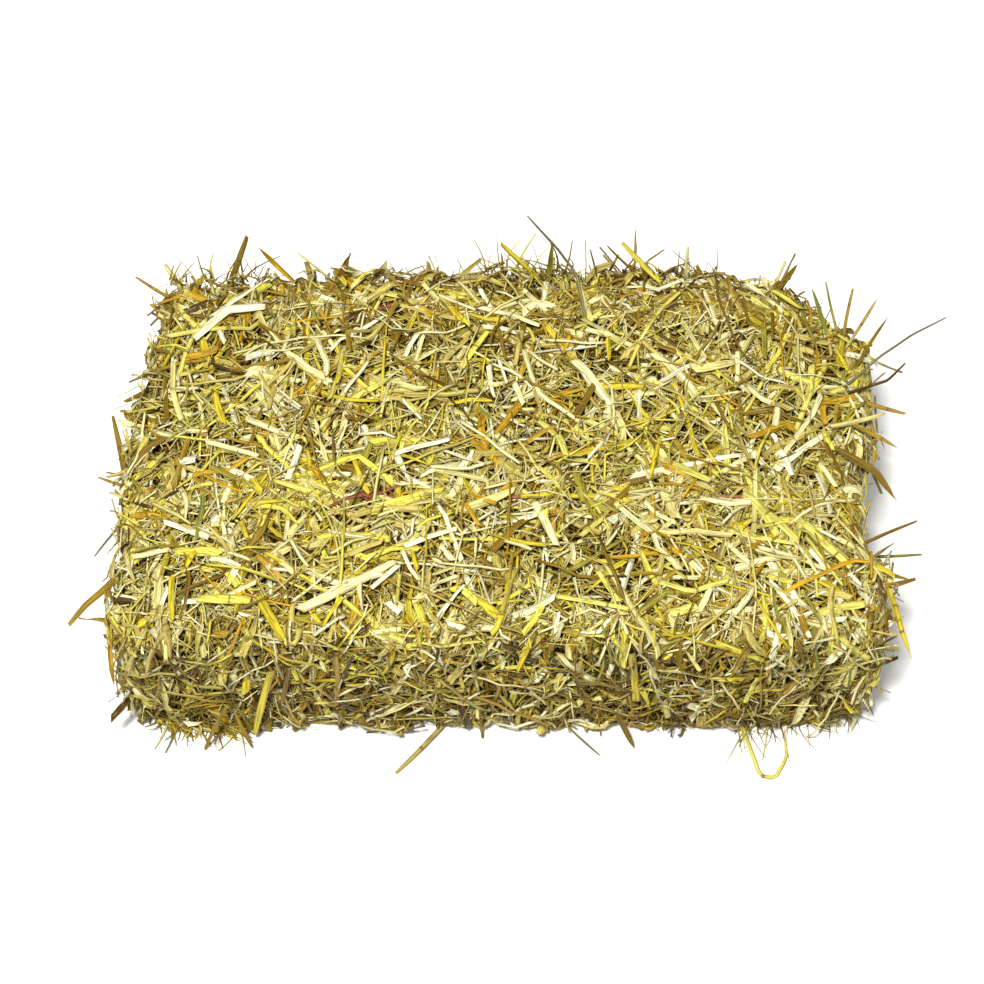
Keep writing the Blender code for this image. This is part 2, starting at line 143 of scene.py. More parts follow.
# Pairs of crossed waves. Each wave is how fast it turns along X, Y and Z, per metre, and its start
WAVE_HEIGHT = 0.0012
WAVES = (((61, 23, 0, 0), (0, 47, 80, 1.3)),)
CLUMP_HEIGHT = 0.0022
CLUMPS = (((173, 61, 40, 0), (-70, 149, 0, 1.1)), ((120, 0, 211, 0.4), (97, 0, -160, 2.3)))
CLUMP_CALM = 0.75
CLUMP_CALM_REACH = 0.012
SLOPE_STEP = 0.0008
SMALLEST_LENGTH = 1e-9
MASS_DEPTH = 0.0085
MASS_RINGS = 14
MASS_POINTS = 160
MASS_CLOSING = np.array([0.05, 0.25, 0.5, 0.75, 0.92])
MASS_MIDDLE = 0.072
MASS_OUTSIDE = 0.17
MASS_ROUNDS = 24
MASS_STRIDE = 0.7
MASS_THINNEST = 0.01
MASS_LOWEST = 0.002
MASS_END_GAP = 0.018
MASS_END_RINGS = 0.012
MASS_END_DROP = 0.006
# From near black to pale brown: the straw's own brown, darkened as painted shade where it lies between
# the stems
MATTED_SHADE_COLOURS = ((0.0, (0.014, 0.007, 0.001)), (0.5, (0.055, 0.032, 0.005)),
                  (1.0, (0.19, 0.13, 0.026)))
# Turn and scale of the three ways that the pale streaks run
MATTED_STREAKS = ((0.5, (60, 700, 700)), (-0.7, (700, 90, 500)), (1.2, (500, 700, 80)))


def smooth_step(value):
    """3 v^2 - 2 v^3 with v held between 0 and 1."""
    value = np.clip(value, 0, 1)
    return value * value * (3 - 2 * value)


def draw_in(steps, y):
    """Depth of an end inside the full length at y, with smooth steps between the given depths."""
    places, depths = np.array(steps).T
    near = np.clip(np.searchsorted(places, y) - 1, 0, len(places) - 2)
    share = smooth_step((y - places[near]) / (places[near + 1] - places[near]))
    return depths[near] + (depths[near + 1] - depths[near]) * share


def crossed_waves(points, pairs, height=1):
    """The sum of height * sin(first) * sin(second), with each wave a x + b y + c z + start."""
    x, y, z = points[..., 0], points[..., 1], points[..., 2]
    total = 0
    for pair in pairs:
        first, second = (np.sin(a * x + b * y + c * z + start) for a, b, c, start in pair)
        total = total + height * first * second
    return total


def height_over_straw(points):
    """Distance outside the bale's surface, negative inside, for an array of points.

    The distance to a box with rounded edges, whose height and depth follow the flakes, plus the
    depth of the valleys that fall to the twines, plus the deeper openings in which a twine shows,
    plus the drop of the back right corner, plus slow waves and the small clumps that pressed straw
    gathers in, which are lower near the twines.
    """
    x, y, z = points[..., 0], points[..., 1], points[..., 2]
    front = np.interp(x, FLAKE_MIDDLES, FLAKE_FRONT)
    back = np.interp(x, FLAKE_MIDDLES, FLAKE_BACK)
    top = np.interp(x, FLAKE_MIDDLES, FLAKE_HEIGHT)
    left = HALF_LENGTH - draw_in(LEFT_END, y)
    right = HALF_LENGTH - draw_in(RIGHT_END, y)
    half = np.stack([(right + left) / 2, (front + back) / 2, top / 2], -1)
    centre = np.stack([(right - left) / 2, (back - front) / 2, top / 2], -1)
    front_foot = np.interp(x, FLAKE_MIDDLES, FRONT_FOOT_ROUND)
    foot = BACK_FOOT_ROUND + (front_foot - BACK_FOOT_ROUND) * smooth_step(-y / FOOT_BLEND)
    edge = foot + (EDGE_ROUND - foot) * smooth_step(z / top)
    beyond = np.abs(points - centre) - half + edge[..., None]
    outside = np.linalg.norm(np.maximum(beyond, 0), axis=-1)
    inside = np.minimum(beyond.max(axis=-1), 0)
    nearest = np.minimum(np.abs(y - TWINE_LINES[0]), np.abs(y - TWINE_LINES[1]))
    valley = VALLEY_DEPTH * (1 - smooth_step((nearest - VALLEY_FLAT) / VALLEY_REACH))
    valley = valley * smooth_step(z / VALLEY_FADE)
    for line, low, high in TWINE_OPENINGS:
        beyond_ends = np.maximum(np.abs(x - (low + high) / 2) - (high - low) / 2, 0)
        away = np.hypot(np.maximum(np.abs(y - line) - OPENING_FLAT, 0), beyond_ends)
        opening = OPENING_DEPTH * (1 - smooth_step(away / OPENING_REACH))
        valley = valley + opening * (z > OPENING_LOWEST)
    at_corner = smooth_step((points - CORNER_FROM) / CORNER_BLEND)
    corner = at_corner[..., 0] * at_corner[..., 1]
    valley = valley + CORNER_DROP * corner * at_corner[..., 2]
    waves = crossed_waves(points, WAVES, WAVE_HEIGHT)
    calm = 1 - CLUMP_CALM * (1 - smooth_step((nearest - VALLEY_FLAT) / CLUMP_CALM_REACH))
    clumps = CLUMP_HEIGHT * crossed_waves(points, CLUMPS) * calm
    return outside + inside - edge + valley + waves + clumps


def unit(vectors):
    """The vectors at length 1."""
    return vectors / np.maximum(np.linalg.norm(vectors, axis=-1, keepdims=True), SMALLEST_LENGTH)


def outward(points):
    """The unit direction straight out of the straw at each point: the slope of the height."""
    slope = np.empty_like(points)
    for axis in range(3):
        step = np.zeros(3)
        step[axis] = SLOPE_STEP
        slope[..., axis] = height_over_straw(points + step) - height_over_straw(points - step)
    return unit(slope)


class Value:
    """A node's output. Arithmetic on it adds Math nodes, and node() adds any other node."""

    def __init__(self, socket):
        self.socket = socket

    @staticmethod
    def start(tree, kind, settings=None, values=None, output=0):
        """Adds a node: its settings first, then its inputs' values or links, by name or number."""
        made = tree.nodes.new(kind)
        for name, setting in (settings or {}).items():
            if name == "stops":
                ramp = made.color_ramp
                ramp.elements.remove(ramp.elements[1])
                for number, (place, colour) in enumerate(setting):
                    stop = ramp.elements[0] if number == 0 else ramp.elements.new(place)
                    stop.position = place
                    stop.color = (*colour, 1)
            elif name == "interpolation":
                made.color_ramp.interpolation = setting
            else:
                setattr(made, name, setting)
        for name, value in (values or {}).items():
            if isinstance(value, Value):
                tree.links.new(value.socket, made.inputs[name])
            else:
                made.inputs[name].default_value = value
        return Value(made.outputs[output])

    def node(self, kind, settings=None, values=None, output=0):
        return Value.start(self.socket.id_data, kind, settings, values, output)

    def maths(self, operation, first, second=0.0):
        return self.node("ShaderNodeMath", {"operation": operation}, {0: first, 1: second})

    def __add__(self, other):
        return self.maths("ADD", self, other)

    def __sub__(self, other):
        return self.maths("SUBTRACT", self, other)

    def __mul__(self, other):
        return self.maths("MULTIPLY", self, other)

    def __rsub__(self, other):
        return self.maths("SUBTRACT", other, self)

    __radd__ = __add__

    def fraction(self):
        return self.maths("FRACT", self)

    def whole(self):
        return self.maths("FLOOR", self)

    def ramp(self, stops):
        return self.node("ShaderNodeValToRGB", {"stops": stops}, {0: self})

    def between(self, low, high):
        """0 below low and 1 above high, with a smooth way between them."""
        return self.node("ShaderNodeMapRange", {"interpolation_type": "SMOOTHSTEP"},
                         {"Value": self, "From Min": low, "From Max": high})

    def blend(self, other, share, blend_type="MIX"):
        """This colour blended with another by share."""
        return self.node("ShaderNodeMix", {"data_type": "RGBA", "blend_type": blend_type},
                         {0: share, 6: self, 7: other}, output=2)


def new_finish(name):
    """A material, its tree and its Principled shader."""
    finish = bpy.data.materials.new(name)
    finish.use_nodes = True
    return finish, finish.node_tree, finish.node_tree.nodes["Principled BSDF"]


def matted_straw_shade_finish():
    """Dark brown painted shade between pale streaks that run three ways, as crossed fibres do."""
    finish, tree, shader = new_finish("matted_straw_shade")
    place = Value.start(tree, "ShaderNodeTexCoord", output="Object")
    streaks = []
    for turn, stretch in MATTED_STREAKS:
        turned = place.node("ShaderNodeMapping", values={
            "Vector": place, "Rotation": (turn, 0.4 * turn, 1.3 * turn), "Scale": stretch})
        noise = place.node("ShaderNodeTexNoise", values={
            "Vector": turned, "Scale": 1.0, "Detail": 2.0})
        streaks.append(noise.between(0.48, 0.66))
    crossed = streaks[0].maths("MAXIMUM", streaks[0], streaks[1])
    crossed = crossed.maths("MAXIMUM", crossed, streaks[2])
    colour = crossed.ramp(MATTED_SHADE_COLOURS)
    bump = crossed.node("ShaderNodeBump", values={
        "Height": crossed, "Strength": 0.8, "Distance": 0.001})
    tree.links.new(colour.socket, shader.inputs["Base Color"])
    tree.links.new(bump.socket, shader.inputs["Normal"])
    shader.inputs["Roughness"].default_value = 0.85
    shader.inputs["Specular IOR Level"].default_value = 0.05
    return finish


def mesh_piece(name, finish, points, corners, counts, uvs=None, smooth=False):
    """A mesh from points, the corners of its faces in one row, and how many each face has."""
    mesh = bpy.data.meshes.new(name)
    mesh.vertices.add(len(points))
    mesh.vertices.foreach_set("co", np.ascontiguousarray(points, dtype=np.float32).ravel())
    mesh.loops.add(len(corners))
    mesh.loops.foreach_set("vertex_index", corners.astype(np.int32))
    mesh.polygons.add(len(counts))
    starts = np.concatenate([[0], np.cumsum(counts)[:-1]])
    mesh.polygons.foreach_set("loop_start", starts.astype(np.int32))
    mesh.polygons.foreach_set("use_smooth", np.broadcast_to(smooth, len(counts)).copy())
    if uvs is not None:
        layer = mesh.uv_layers.new(name="OFBake")
        layer.data.foreach_set("uv", uvs.astype(np.float32).ravel())
    mesh.update(calc_edges=True)
    mesh.validate()
    mesh.materials.append(finish)
    piece = bpy.data.objects.new(name, mesh)
    bpy.context.scene.collection.objects.link(piece)
    return piece


def drawn_in(x, y):
    """x moved inwards by the ends' depth at y: in full at the mass's ends, none END_FLAKE away."""
    right = np.clip((x - HALF_LENGTH + MASS_DEPTH) / END_FLAKE + 1, 0, 1)
    left = np.clip((-x - HALF_LENGTH + MASS_DEPTH) / END_FLAKE + 1, 0, 1)
    return x - right * draw_in(RIGHT_END, y) + left * draw_in(LEFT_END, y)


def mass_surface(start, end):
    """A closed sweep along X, MASS_DEPTH below the straw's surface.

    Ring point = middle + reach * (0, cos a, sin a), where reach is walked in from outside until the
    height there is -MASS_DEPTH. The end rings shrink towards the middle to close the sweep.
    """
    closing = len(MASS_CLOSING)
    shrink = np.concatenate([MASS_CLOSING, np.ones(MASS_RINGS), MASS_CLOSING[::-1]])
    inner = np.linspace(start, end, MASS_RINGS)
    inner = np.clip(inner, MASS_DEPTH - HALF_LENGTH, HALF_LENGTH - MASS_DEPTH)
    rings_x = np.concatenate([np.full(closing, inner[0]), inner, np.full(closing, inner[-1])])
    angle = np.linspace(0, 2 * math.pi, MASS_POINTS, endpoint=False)
    # a box turns its corners quickly, so the angles are drawn towards its long sides
    ray = np.stack([np.zeros(MASS_POINTS), 2 * np.cos(angle), np.sin(angle)], -1)
    ray /= np.linalg.norm(ray, axis=-1, keepdims=True)
    middle = np.stack([rings_x, np.zeros_like(rings_x), np.full_like(rings_x, MASS_MIDDLE)], -1)
    reach = np.full((len(rings_x), MASS_POINTS), MASS_OUTSIDE)
    for _ in range(MASS_ROUNDS):
        spots = middle[:, None, :] + reach[..., None] * ray
        end_left = MASS_END_GAP - HALF_LENGTH + draw_in(LEFT_END, spots[..., 1])
        end_right = HALF_LENGTH - MASS_END_GAP - draw_in(RIGHT_END, spots[..., 1])
        spots[..., 0] = np.clip(drawn_in(spots[..., 0], spots[..., 1]), end_left, end_right)
        stride = MASS_STRIDE * (height_over_straw(spots) + MASS_DEPTH)
        reach = np.maximum(reach - stride, MASS_THINNEST)
    at_end = np.abs(rings_x)[:, None] > HALF_LENGTH - MASS_END_RINGS
    reach = np.where(at_end, reach - MASS_END_DROP, reach)
    points = middle[:, None, :] + (shrink[:, None] * reach)[..., None] * ray
    points[..., 0] = drawn_in(points[..., 0], points[..., 1])
    points[..., 2] = np.maximum(points[..., 2], MASS_LOWEST)
    return points.reshape(-1, 3), len(rings_x)


def sweep_faces(rings, around):
    """Faces of a tube of rings with the same number of points, closed by a face at each end."""
    ring, spot = np.meshgrid(np.arange(rings - 1), np.arange(around), indexing="ij")
    here = ring * around + spot
    beside = ring * around + (spot + 1) % around
    sides = np.stack([here, beside, beside + around, here + around], -1).reshape(-1)
    first = np.arange(around)[::-1]
    last = (rings - 1) * around + np.arange(around)
    corners = np.concatenate([sides, first, last])
    counts = np.concatenate([np.full((rings - 1) * around, 4), [around, around]])
    return corners, counts


matted_straw_shade = matted_straw_shade_finish()
for number, node in enumerate(FLAKES):
    mass_points, mass_rings = mass_surface(FLAKE_EDGES[number], FLAKE_EDGES[number + 1])
    mass_corners, mass_counts = sweep_faces(mass_rings, MASS_POINTS)
    mass = mesh_piece(f"{node}_pressed_mass", matted_straw_shade, mass_points, mass_corners, mass_counts)
    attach(mass, "root")
    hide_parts(node)


# The loose straw on each flake: broad split stems, round stems, leaf ribbons, husks and fine chaff,
# of cut and threshed wheat. They lie over one another at all angles, but mostly hang on the front
# and the back, and are held only by being pressed.

# The colours of straw, from bleached to weathered. Each has two rows of the straw's map
STRAW_COLOURS = (
    ("bleached", (0.665, 0.645, 0.43)),
    ("cream", (0.62, 0.575, 0.29)),
    ("pale", (0.565, 0.50, 0.185)),
    ("straw", (0.43, 0.355, 0.088)),
    ("bright", (0.585, 0.52, 0.070)),
    ("lemon", (0.52, 0.48, 0.100)),
    ("yellow", (0.47, 0.375, 0.020)),
    ("orange", (0.40, 0.235, 0.010)),
    ("buff", (0.37, 0.295, 0.085)),
    ("tan", (0.275, 0.180, 0.015)),
    ("olive", (0.25, 0.220, 0.024)),
    ("green", (0.17, 0.185, 0.030)),
    ("brown", (0.145, 0.085, 0.006)),
    ("dark", (0.050, 0.027, 0.003)),
    ("grey", (0.17, 0.15, 0.085)),
    ("dull", (0.185, 0.118, 0.009)),
)
COLOUR_ROWS = {name: row for row, (name, _) in enumerate(STRAW_COLOURS)}
ROWS_EACH = 2
MAP_ROWS = ROWS_EACH * len(STRAW_COLOURS)
MAP_COLUMNS = 2
# Noise scales along and across the stem, and how far apart the cells lie in the noise
STREAK_SCALES, FINE_SCALES, BLOTCH_SCALES = (2.2, 17.0), (7.0, 46.0), (4.0, 2.5)
NOISE_DETAIL = 2.0
CELL_SHIFTS = (13.7, 5.1)
CHANCE_SHIFT = 71.3
# What a straw's light starts at, and what its streaks, its fine streaks and its luck add to it
LIGHT_START, LIGHT_STREAKS, LIGHT_FINE, LIGHT_LUCK = 0.25, 0.68, 0.48, 0.24
STAIN_COLOUR = (0.15, 0.085, 0.012, 1)
JOINT_COLOUR = (0.12, 0.065, 0.012, 1)
CUT_COLOUR = (0.22, 0.145, 0.035, 1)
# painted shade at the rims of a split stem's outer arc
RIM_SHADE_COLOUR = (0.17, 0.105, 0.015, 1)
INNER_COLOUR = (0.58, 0.50, 0.20, 1)
# Three of a split stem's eight sides are its outer arc: the middle of these on the map, and the
# scale that makes the way across them run from -1 to 1
OUTER_MIDDLE = 0.1875
OUTER_SCALE = 5.33


def straw_finish():
    """Straw as a function of its own map: u along the stem, v across it, one cell for each look.

    A cell's row picks the colour, and its number shifts it. Streaks run along the stem, its cut
    ends are dull, some cells have stains or a dark joint, the outer arc darkens towards its rims as
    painted shade, and the inner side is paler and less glossy.
    """
    finish, tree, shader = new_finish("loose_straw")
    place = Value.start(tree, "ShaderNodeUVMap", {"uv_map": "OFBake"})
    apart = place.node("ShaderNodeSeparateXYZ", values={0: place})
    u = Value(apart.socket.node.outputs[0])
    v = Value(apart.socket.node.outputs[1])
    along = (u * MAP_COLUMNS).fraction()
    across = (v * MAP_ROWS).fraction()
    column = (u * MAP_COLUMNS).whole()
    row = (v * MAP_ROWS).whole()
    cell = row + column * MAP_ROWS
    luck = cell.node("ShaderNodeTexWhiteNoise", {"noise_dimensions": "1D"}, {"W": cell}, "Value")
    chance = cell.node("ShaderNodeTexWhiteNoise", {"noise_dimensions": "1D"},
                       {"W": cell + CHANCE_SHIFT}, "Value")
    stops = [(number / len(STRAW_COLOURS), colour)
             for number, (_, colour) in enumerate(STRAW_COLOURS)]
    colour = v.node("ShaderNodeValToRGB", {"interpolation": "CONSTANT", "stops": stops}, {0: v})

    def stretched(scales):
        """Noise drawn out along the stem, different in each cell."""
        spot = place.node("ShaderNodeCombineXYZ", values={
            0: along * scales[0], 1: across * scales[1] + cell * CELL_SHIFTS[0],
            2: cell * CELL_SHIFTS[1]})
        return place.node("ShaderNodeTexNoise", values={
            "Vector": spot, "Scale": 1.0, "Detail": NOISE_DETAIL})

    streaks = stretched(STREAK_SCALES).between(0.34, 0.66)
    fine = stretched(FINE_SCALES).between(0.32, 0.68)
    blotches = stretched(BLOTCH_SCALES)
    light = LIGHT_START + streaks * LIGHT_STREAKS + fine * LIGHT_FINE + luck * LIGHT_LUCK
    grey = light.node("ShaderNodeCombineColor", values={0: light, 1: light, 2: light * 0.98})
    colour = colour.blend(grey, 1.0, "MULTIPLY")
    stain = blotches.between(0.54, 0.74) * chance.between(0.1, 1.0) * 0.85
    colour = colour.blend(STAIN_COLOUR, stain)
    joint_place = 0.25 + luck * 0.5
    joint = 1 - (along - joint_place).maths("ABSOLUTE", along - joint_place).between(0.008, 0.028)
    colour = colour.blend(JOINT_COLOUR, joint * chance.between(0.45, 0.55) * 0.8)
    tip = 1 - along.maths("MINIMUM", along, 1 - along).between(0.0, 0.05)
    colour = colour.blend(CUT_COLOUR, tip * 0.6)
    inner = across.between(0.52, 0.56)
    from_middle = (across - OUTER_MIDDLE) * OUTER_SCALE
    # painted shade: the outer arc darkens towards its rims, where it turns away from the light
    rim_shade = from_middle.maths("ABSOLUTE", from_middle).between(0.45, 1.0) * (1 - inner)
    colour = colour.blend(RIM_SHADE_COLOUR, rim_shade * (0.25 + chance * 0.45))
    colour = colour.blend(INNER_COLOUR, inner * 0.25)
    roughness = 0.42 + inner * 0.2 + fine * 0.2
    relief = streaks * 0.6 + fine * 0.4
    bump = relief.node("ShaderNodeBump", values={
        "Height": relief, "Strength": 0.35, "Distance": 0.0004})
    tree.links.new(colour.socket, shader.inputs["Base Color"])
    tree.links.new(roughness.socket, shader.inputs["Roughness"])
    tree.links.new(bump.socket, shader.inputs["Normal"])
    shader.inputs["Specular IOR Level"].default_value = 0.16
    return finish


# A split stem's arc: its start and end in half turns, its points, its width before it is brought
# to 1, how far it is lowered, how much narrower its inner arc is, and its wall
ARC_START, ARC_END = 0.15, 0.85
ARC_POINTS = 4
ARC_WIDTH = 1.78
ARC_LOWERED = 0.72
ARC_INNER_WIDTH = 0.97
ARC_WALL = 0.16
STEM_SIDES = 5


def split_stem_profile():
    """Half a flattened tube: an outer arc and, a thin wall below it, an inner arc back."""
    angle = np.linspace(ARC_START * math.pi, ARC_END * math.pi, ARC_POINTS)
    outer = np.stack([np.cos(angle) / ARC_WIDTH, np.sin(angle) - ARC_LOWERED], -1)
    inner = outer[::-1] * (ARC_INNER_WIDTH, 1.0) - (0, ARC_WALL)
    return np.concatenate([outer, inner])


def round_profile(around):
    """A circle of diameter 1."""
    angle = np.arange(around) * 2 * math.pi / around
    return np.stack([np.cos(angle), np.sin(angle)], -1) / 2


# Each kind's outline across the stem, the corners that close its ends, and whether it is smooth
STRIP_CAPS = ((0, 1, 6, 7), (1, 2, 5, 6), (2, 3, 4, 5))
LEAF_CAPS = ((0, 1, 4, 5), (1, 2, 3, 4))
LEAF_PROFILE = np.array([(0.48, 2.4), (0.05, -0.6), (-0.48, 1.8),
                         (-0.5, 0.8), (0.05, -1.6), (0.5, 1.4)])
HUSK_PROFILE = np.array([(0.5, 0.5), (-0.5, 0.5), (-0.5, -0.5), (0.5, -0.5)])
CHAFF_PROFILE = np.array([(0.5, -0.3), (0.0, 0.6), (-0.5, -0.3)])
OUTLINES = {
    "split": (split_stem_profile(), STRIP_CAPS, False),
    "stem": (round_profile(STEM_SIDES), (tuple(range(STEM_SIDES)),), True),
    "ribbon": (LEAF_PROFILE, LEAF_CAPS, False),
    "husk": (HUSK_PROFILE, ((0, 1, 2, 3),), False),
    "chaff": (CHAFF_PROFILE, ((0, 1, 2),), False),
}
STRAW_LOWEST = 0.0004
# The margin of a cell that no straw uses, and where in its cell a cut end lies and how large it is
CELL_MARGIN = 0.04
CUT_PLACE = (0.02, 0.5)
CUT_SIZE = (0.012, 0.3)


def straw_arrays(paths, ups, widths, thicknesses, outline, cells, slants):
    """Points, face corners, corner counts and map places of many straws of one kind.

    Point = path + side * across * width + up * rise * thickness. The end rings are slid along the
    stem in proportion to across, which gives slanting cuts.
    """
    profile, caps, smooth = OUTLINES[outline]
    straws, stations, _ = paths.shape
    around = len(profile)
    along = unit(np.gradient(paths, axis=1))
    side = unit(np.cross(along, ups))
    up = np.cross(side, along)
    points = (paths[:, :, None, :]
              + side[:, :, None, :] * profile[:, 0, None] * widths[:, :, None, None]
              + up[:, :, None, :] * profile[:, 1, None] * thicknesses[:, :, None, None])
    for end, slant in ((0, slants[:, 0]), (-1, slants[:, 1])):
        slide = profile[:, 0] * widths[:, end, None] * slant[:, None]
        points[:, end] += along[:, end, None, :] * slide[..., None]
    points[..., 2] = np.maximum(points[..., 2], STRAW_LOWEST)

    straw, ring, spot = np.meshgrid(np.arange(straws), np.arange(stations - 1), np.arange(around),
                                    indexing="ij")
    base = straw * stations * around + ring * around
    here = base + spot
    beside = base + (spot + 1) % around
    sides = np.stack([here, beside, beside + around, here + around], -1)
    cap = np.array(caps)
    first = np.arange(straws)[:, None, None] * stations * around
    last = first + (stations - 1) * around
    closing = np.concatenate([first + cap[:, ::-1], last + cap], axis=1)
    corners = np.concatenate([sides.reshape(-1), closing.reshape(-1)])
    counts = np.concatenate([np.full(straws * (stations - 1) * around, 4),
                             np.full(straws * 2 * len(caps), cap.shape[1])])

    row, column = cells[:, 0], cells[:, 1]
    ahead = np.stack([ring, ring, ring + 1, ring + 1], -1) / (stations - 1)
    turn = np.stack([spot, spot + 1, spot + 1, spot], -1) / around
    u = (column[straw][..., None] + CELL_MARGIN / 4 + (1 - CELL_MARGIN / 2) * ahead) / MAP_COLUMNS
    v = (row[straw][..., None] + CELL_MARGIN + (1 - 2 * CELL_MARGIN) * turn) / MAP_ROWS
    side_map = np.stack([u, v], -1).reshape(-1, 2)
    flat = np.concatenate([profile[cap[:, ::-1]], profile[cap]])
    cap_u = CUT_PLACE[0] + CUT_SIZE[0] * flat[..., 0] + np.zeros((straws, 1, 1))
    cap_v = CUT_PLACE[1] + CUT_SIZE[1] * flat[..., 1] + np.zeros((straws, 1, 1))
    cap_map = np.stack([(column[:, None, None] + cap_u) / MAP_COLUMNS,
                        (row[:, None, None] + cap_v) / MAP_ROWS], -1).reshape(-1, 2)
    smooth_faces = np.full(len(counts), smooth)
    smooth_faces[straws * (stations - 1) * around:] = False
    return points.reshape(-1, 3), corners, counts, np.concatenate([side_map, cap_map]), smooth_faces


def way_along(points):
    """How far along a path each of its points is, from 0 to the path's length."""
    return np.concatenate([[0], np.cumsum(np.linalg.norm(np.diff(points, axis=0), axis=1))])


def even_points(points, count):
    """A path's way again, with count points at even distances along its straight stretches."""
    way = way_along(points)
    places = np.linspace(0, way[-1], count)
    return np.stack([np.interp(places, way, points[:, axis]) for axis in range(3)], -1)


def join_arrays(parts):
    """Several meshes' arrays as one: the points first, then the corners, moved past the last's."""
    points, corners, *others = zip(*parts)
    shift = np.cumsum([0] + [len(part) for part in points[:-1]])
    corners = [part + start for part, start in zip(corners, shift)]
    return tuple(np.concatenate(group) for group in (points, corners, *others))


def drawn_onto_straw(spots, rounds=3):
    """The spots moved straight out or in until they lie on the straw's surface."""
    for _ in range(rounds):
        spots = spots - outward(spots) * height_over_straw(spots)[:, None]
    return spots


def covered_areas(sides):
    """The area of each side's rectangle times the share of straw that it takes."""
    return np.array([np.prod(np.delete(np.subtract(high, low), axis)) * share
                     for axis, low, high, share in sides])


def surface_spots(chance, sides, count):
    """Random spots on some of the bale's sides: points of flat rectangles, drawn onto the straw.

    Each side is its fixed axis, the low and high corners of its rectangle, and its share of straw.
    """
    areas = covered_areas(sides)
    picked = chance.choice(len(sides), size=count, p=areas / areas.sum())
    low = np.array([side[1] for side in sides])[picked]
    high = np.array([side[2] for side in sides])[picked]
    return drawn_onto_straw(low + (high - low) * chance.random((count, 3)))


# Where a surface counts as an end and as upright, from the way out of it; how many of the straws of
# an upright side hang down it and how far these turn away; and how much and where a stem is kinked
END_FACING = 0.8
UPRIGHT_FACING = 0.4
UPRIGHT_SHARE = 0.86
UPRIGHT_SPREAD = 0.42
KINK_TURN = (0.4, 1.3)
KINK_PLACE = 0.25
PATH_ROUNDS = 2
PATH_LOWEST = 0.0012


def straw_paths(chance, spots, kind):
    """Paths of straws through spots, with the direction out of the straw at each station.

    The heading in the surface's own plane turns by curl along the stem and by bend at one station.
    On the front and the back most of them lie nearly upright, as the flakes' own straw does.
    The height over the surface is depth + tilt * s + bow * (1 - 4 s^2) for s from -0.5 to 0.5. The
    path is drawn onto that height by the share hold, and otherwise stays straight.
    """
    count, stations = len(spots), kind["stations"]
    length = chance.uniform(*kind["length"], count)
    out = outward(spots)
    across = np.where(np.abs(out[:, :1]) > END_FACING, (0.0, 1.0, 0.0), (1.0, 0.0, 0.0))
    across = unit(across - out * np.sum(across * out, axis=-1, keepdims=True))
    beside = np.cross(out, across)
    s = np.linspace(-0.5, 0.5, stations)
    heading = chance.uniform(0, 2 * math.pi, count)
    upright = math.pi / 2 + math.pi * chance.integers(0, 2, count)
    upright = upright + chance.normal(0, UPRIGHT_SPREAD, count)
    hangs = (np.abs(out[:, 1]) > UPRIGHT_FACING) & (chance.random(count) < UPRIGHT_SHARE)
    heading = np.where(hangs, upright, heading)[:, None]
    heading = heading + chance.normal(0, kind["curl"], count)[:, None] * s
    kinked = chance.random(count) < kind["kinked"]
    bend = chance.choice([-1, 1], count) * chance.uniform(*KINK_TURN, count) * kinked
    bend_place = chance.uniform(-KINK_PLACE, KINK_PLACE, count)
    heading = heading + bend[:, None] * (s > bend_place[:, None])
    ways = (np.cos(heading)[..., None] * across[:, None, :]
            + np.sin(heading)[..., None] * beside[:, None, :])
    run = np.cumsum(ways, axis=1) * (length / (stations - 1))[:, None, None]
    paths = spots[:, None, :] + run - run.mean(axis=1, keepdims=True)
    depth = chance.uniform(*kind["depth"], count)
    tilt = np.abs(chance.normal(0, kind["tilt"], count)) * length
    bow = chance.normal(0, kind["bow"], count) * length
    height = depth[:, None] + tilt[:, None] * s + bow[:, None] * (1 - 4 * s * s)
    hold = chance.uniform(*kind["hold"], count)[:, None]
    paths = paths + out[:, None, :] * height[..., None]
    for _ in range(PATH_ROUNDS):
        away = (height - height_over_straw(paths)) * hold
        paths = paths + outward(paths) * away[..., None]
    paths[..., 2] = np.maximum(paths[..., 2], PATH_LOWEST)
    roll = chance.normal(0, kind["roll"], count)[:, None]
    roll = roll + chance.normal(0, kind["twist"], count)[:, None] * s
    ups = outward(paths)
    along = unit(np.gradient(paths, axis=1))
    side = unit(np.cross(along, ups))
    ups = ups * np.cos(roll)[..., None] + side * np.sin(roll)[..., None]
    return paths, ups


def picked_rows(chance, count, shares):
    """A colour's row for each straw, by the share of each colour."""
    weights = np.array(list(shares.values()), dtype=float)
    rows = np.array([COLOUR_ROWS[name] for name in shares])
    return rows[chance.choice(len(rows), size=count, p=weights / weights.sum())]


def cells_of_rows(chance, rows):
    """One cell of the straw's map for each straw: one of its colour's rows, and any column."""
    return np.stack([ROWS_EACH * rows + chance.integers(0, ROWS_EACH, len(rows)),
                     chance.integers(0, MAP_COLUMNS, len(rows))], -1)


# The share of straw that takes a dull colour, and where it begins and over what it grows: painted
# shade on the sides by how far the way out points up and deep in the straw by its height, and dull straw
# along the back by Y
SIDE_SHADING, SIDE_FROM, SIDE_BLEND = 0.46, 0.75, 0.5
DEEP_SHADING, DEEP_FROM, DEEP_BLEND = 0.55, -0.001, 0.004
BACK_DULLING, BACK_FROM, BACK_BLEND = 0.30, 0.045, 0.07
PATCH_DULLING = 0.06
PATCHES = (((38, 17, 0, 1), (-21, 29, 0, 0)),)
# Painted shade on a side: how many times as much its straw has at its foot, and how much less at the
# height given next
FOOT_SHADING = 1.1
SHADING_LOST = 0.6
SHADING_HEIGHT = 0.145
# Colours of dull straw, and of straw in painted shade
DULL_AND_SHADE_COLOURS = {"tan": 24, "dull": 20, "brown": 24, "dark": 25, "buff": 8, "olive": 4, "straw": 6,
                "pale": 3, "orange": 6}


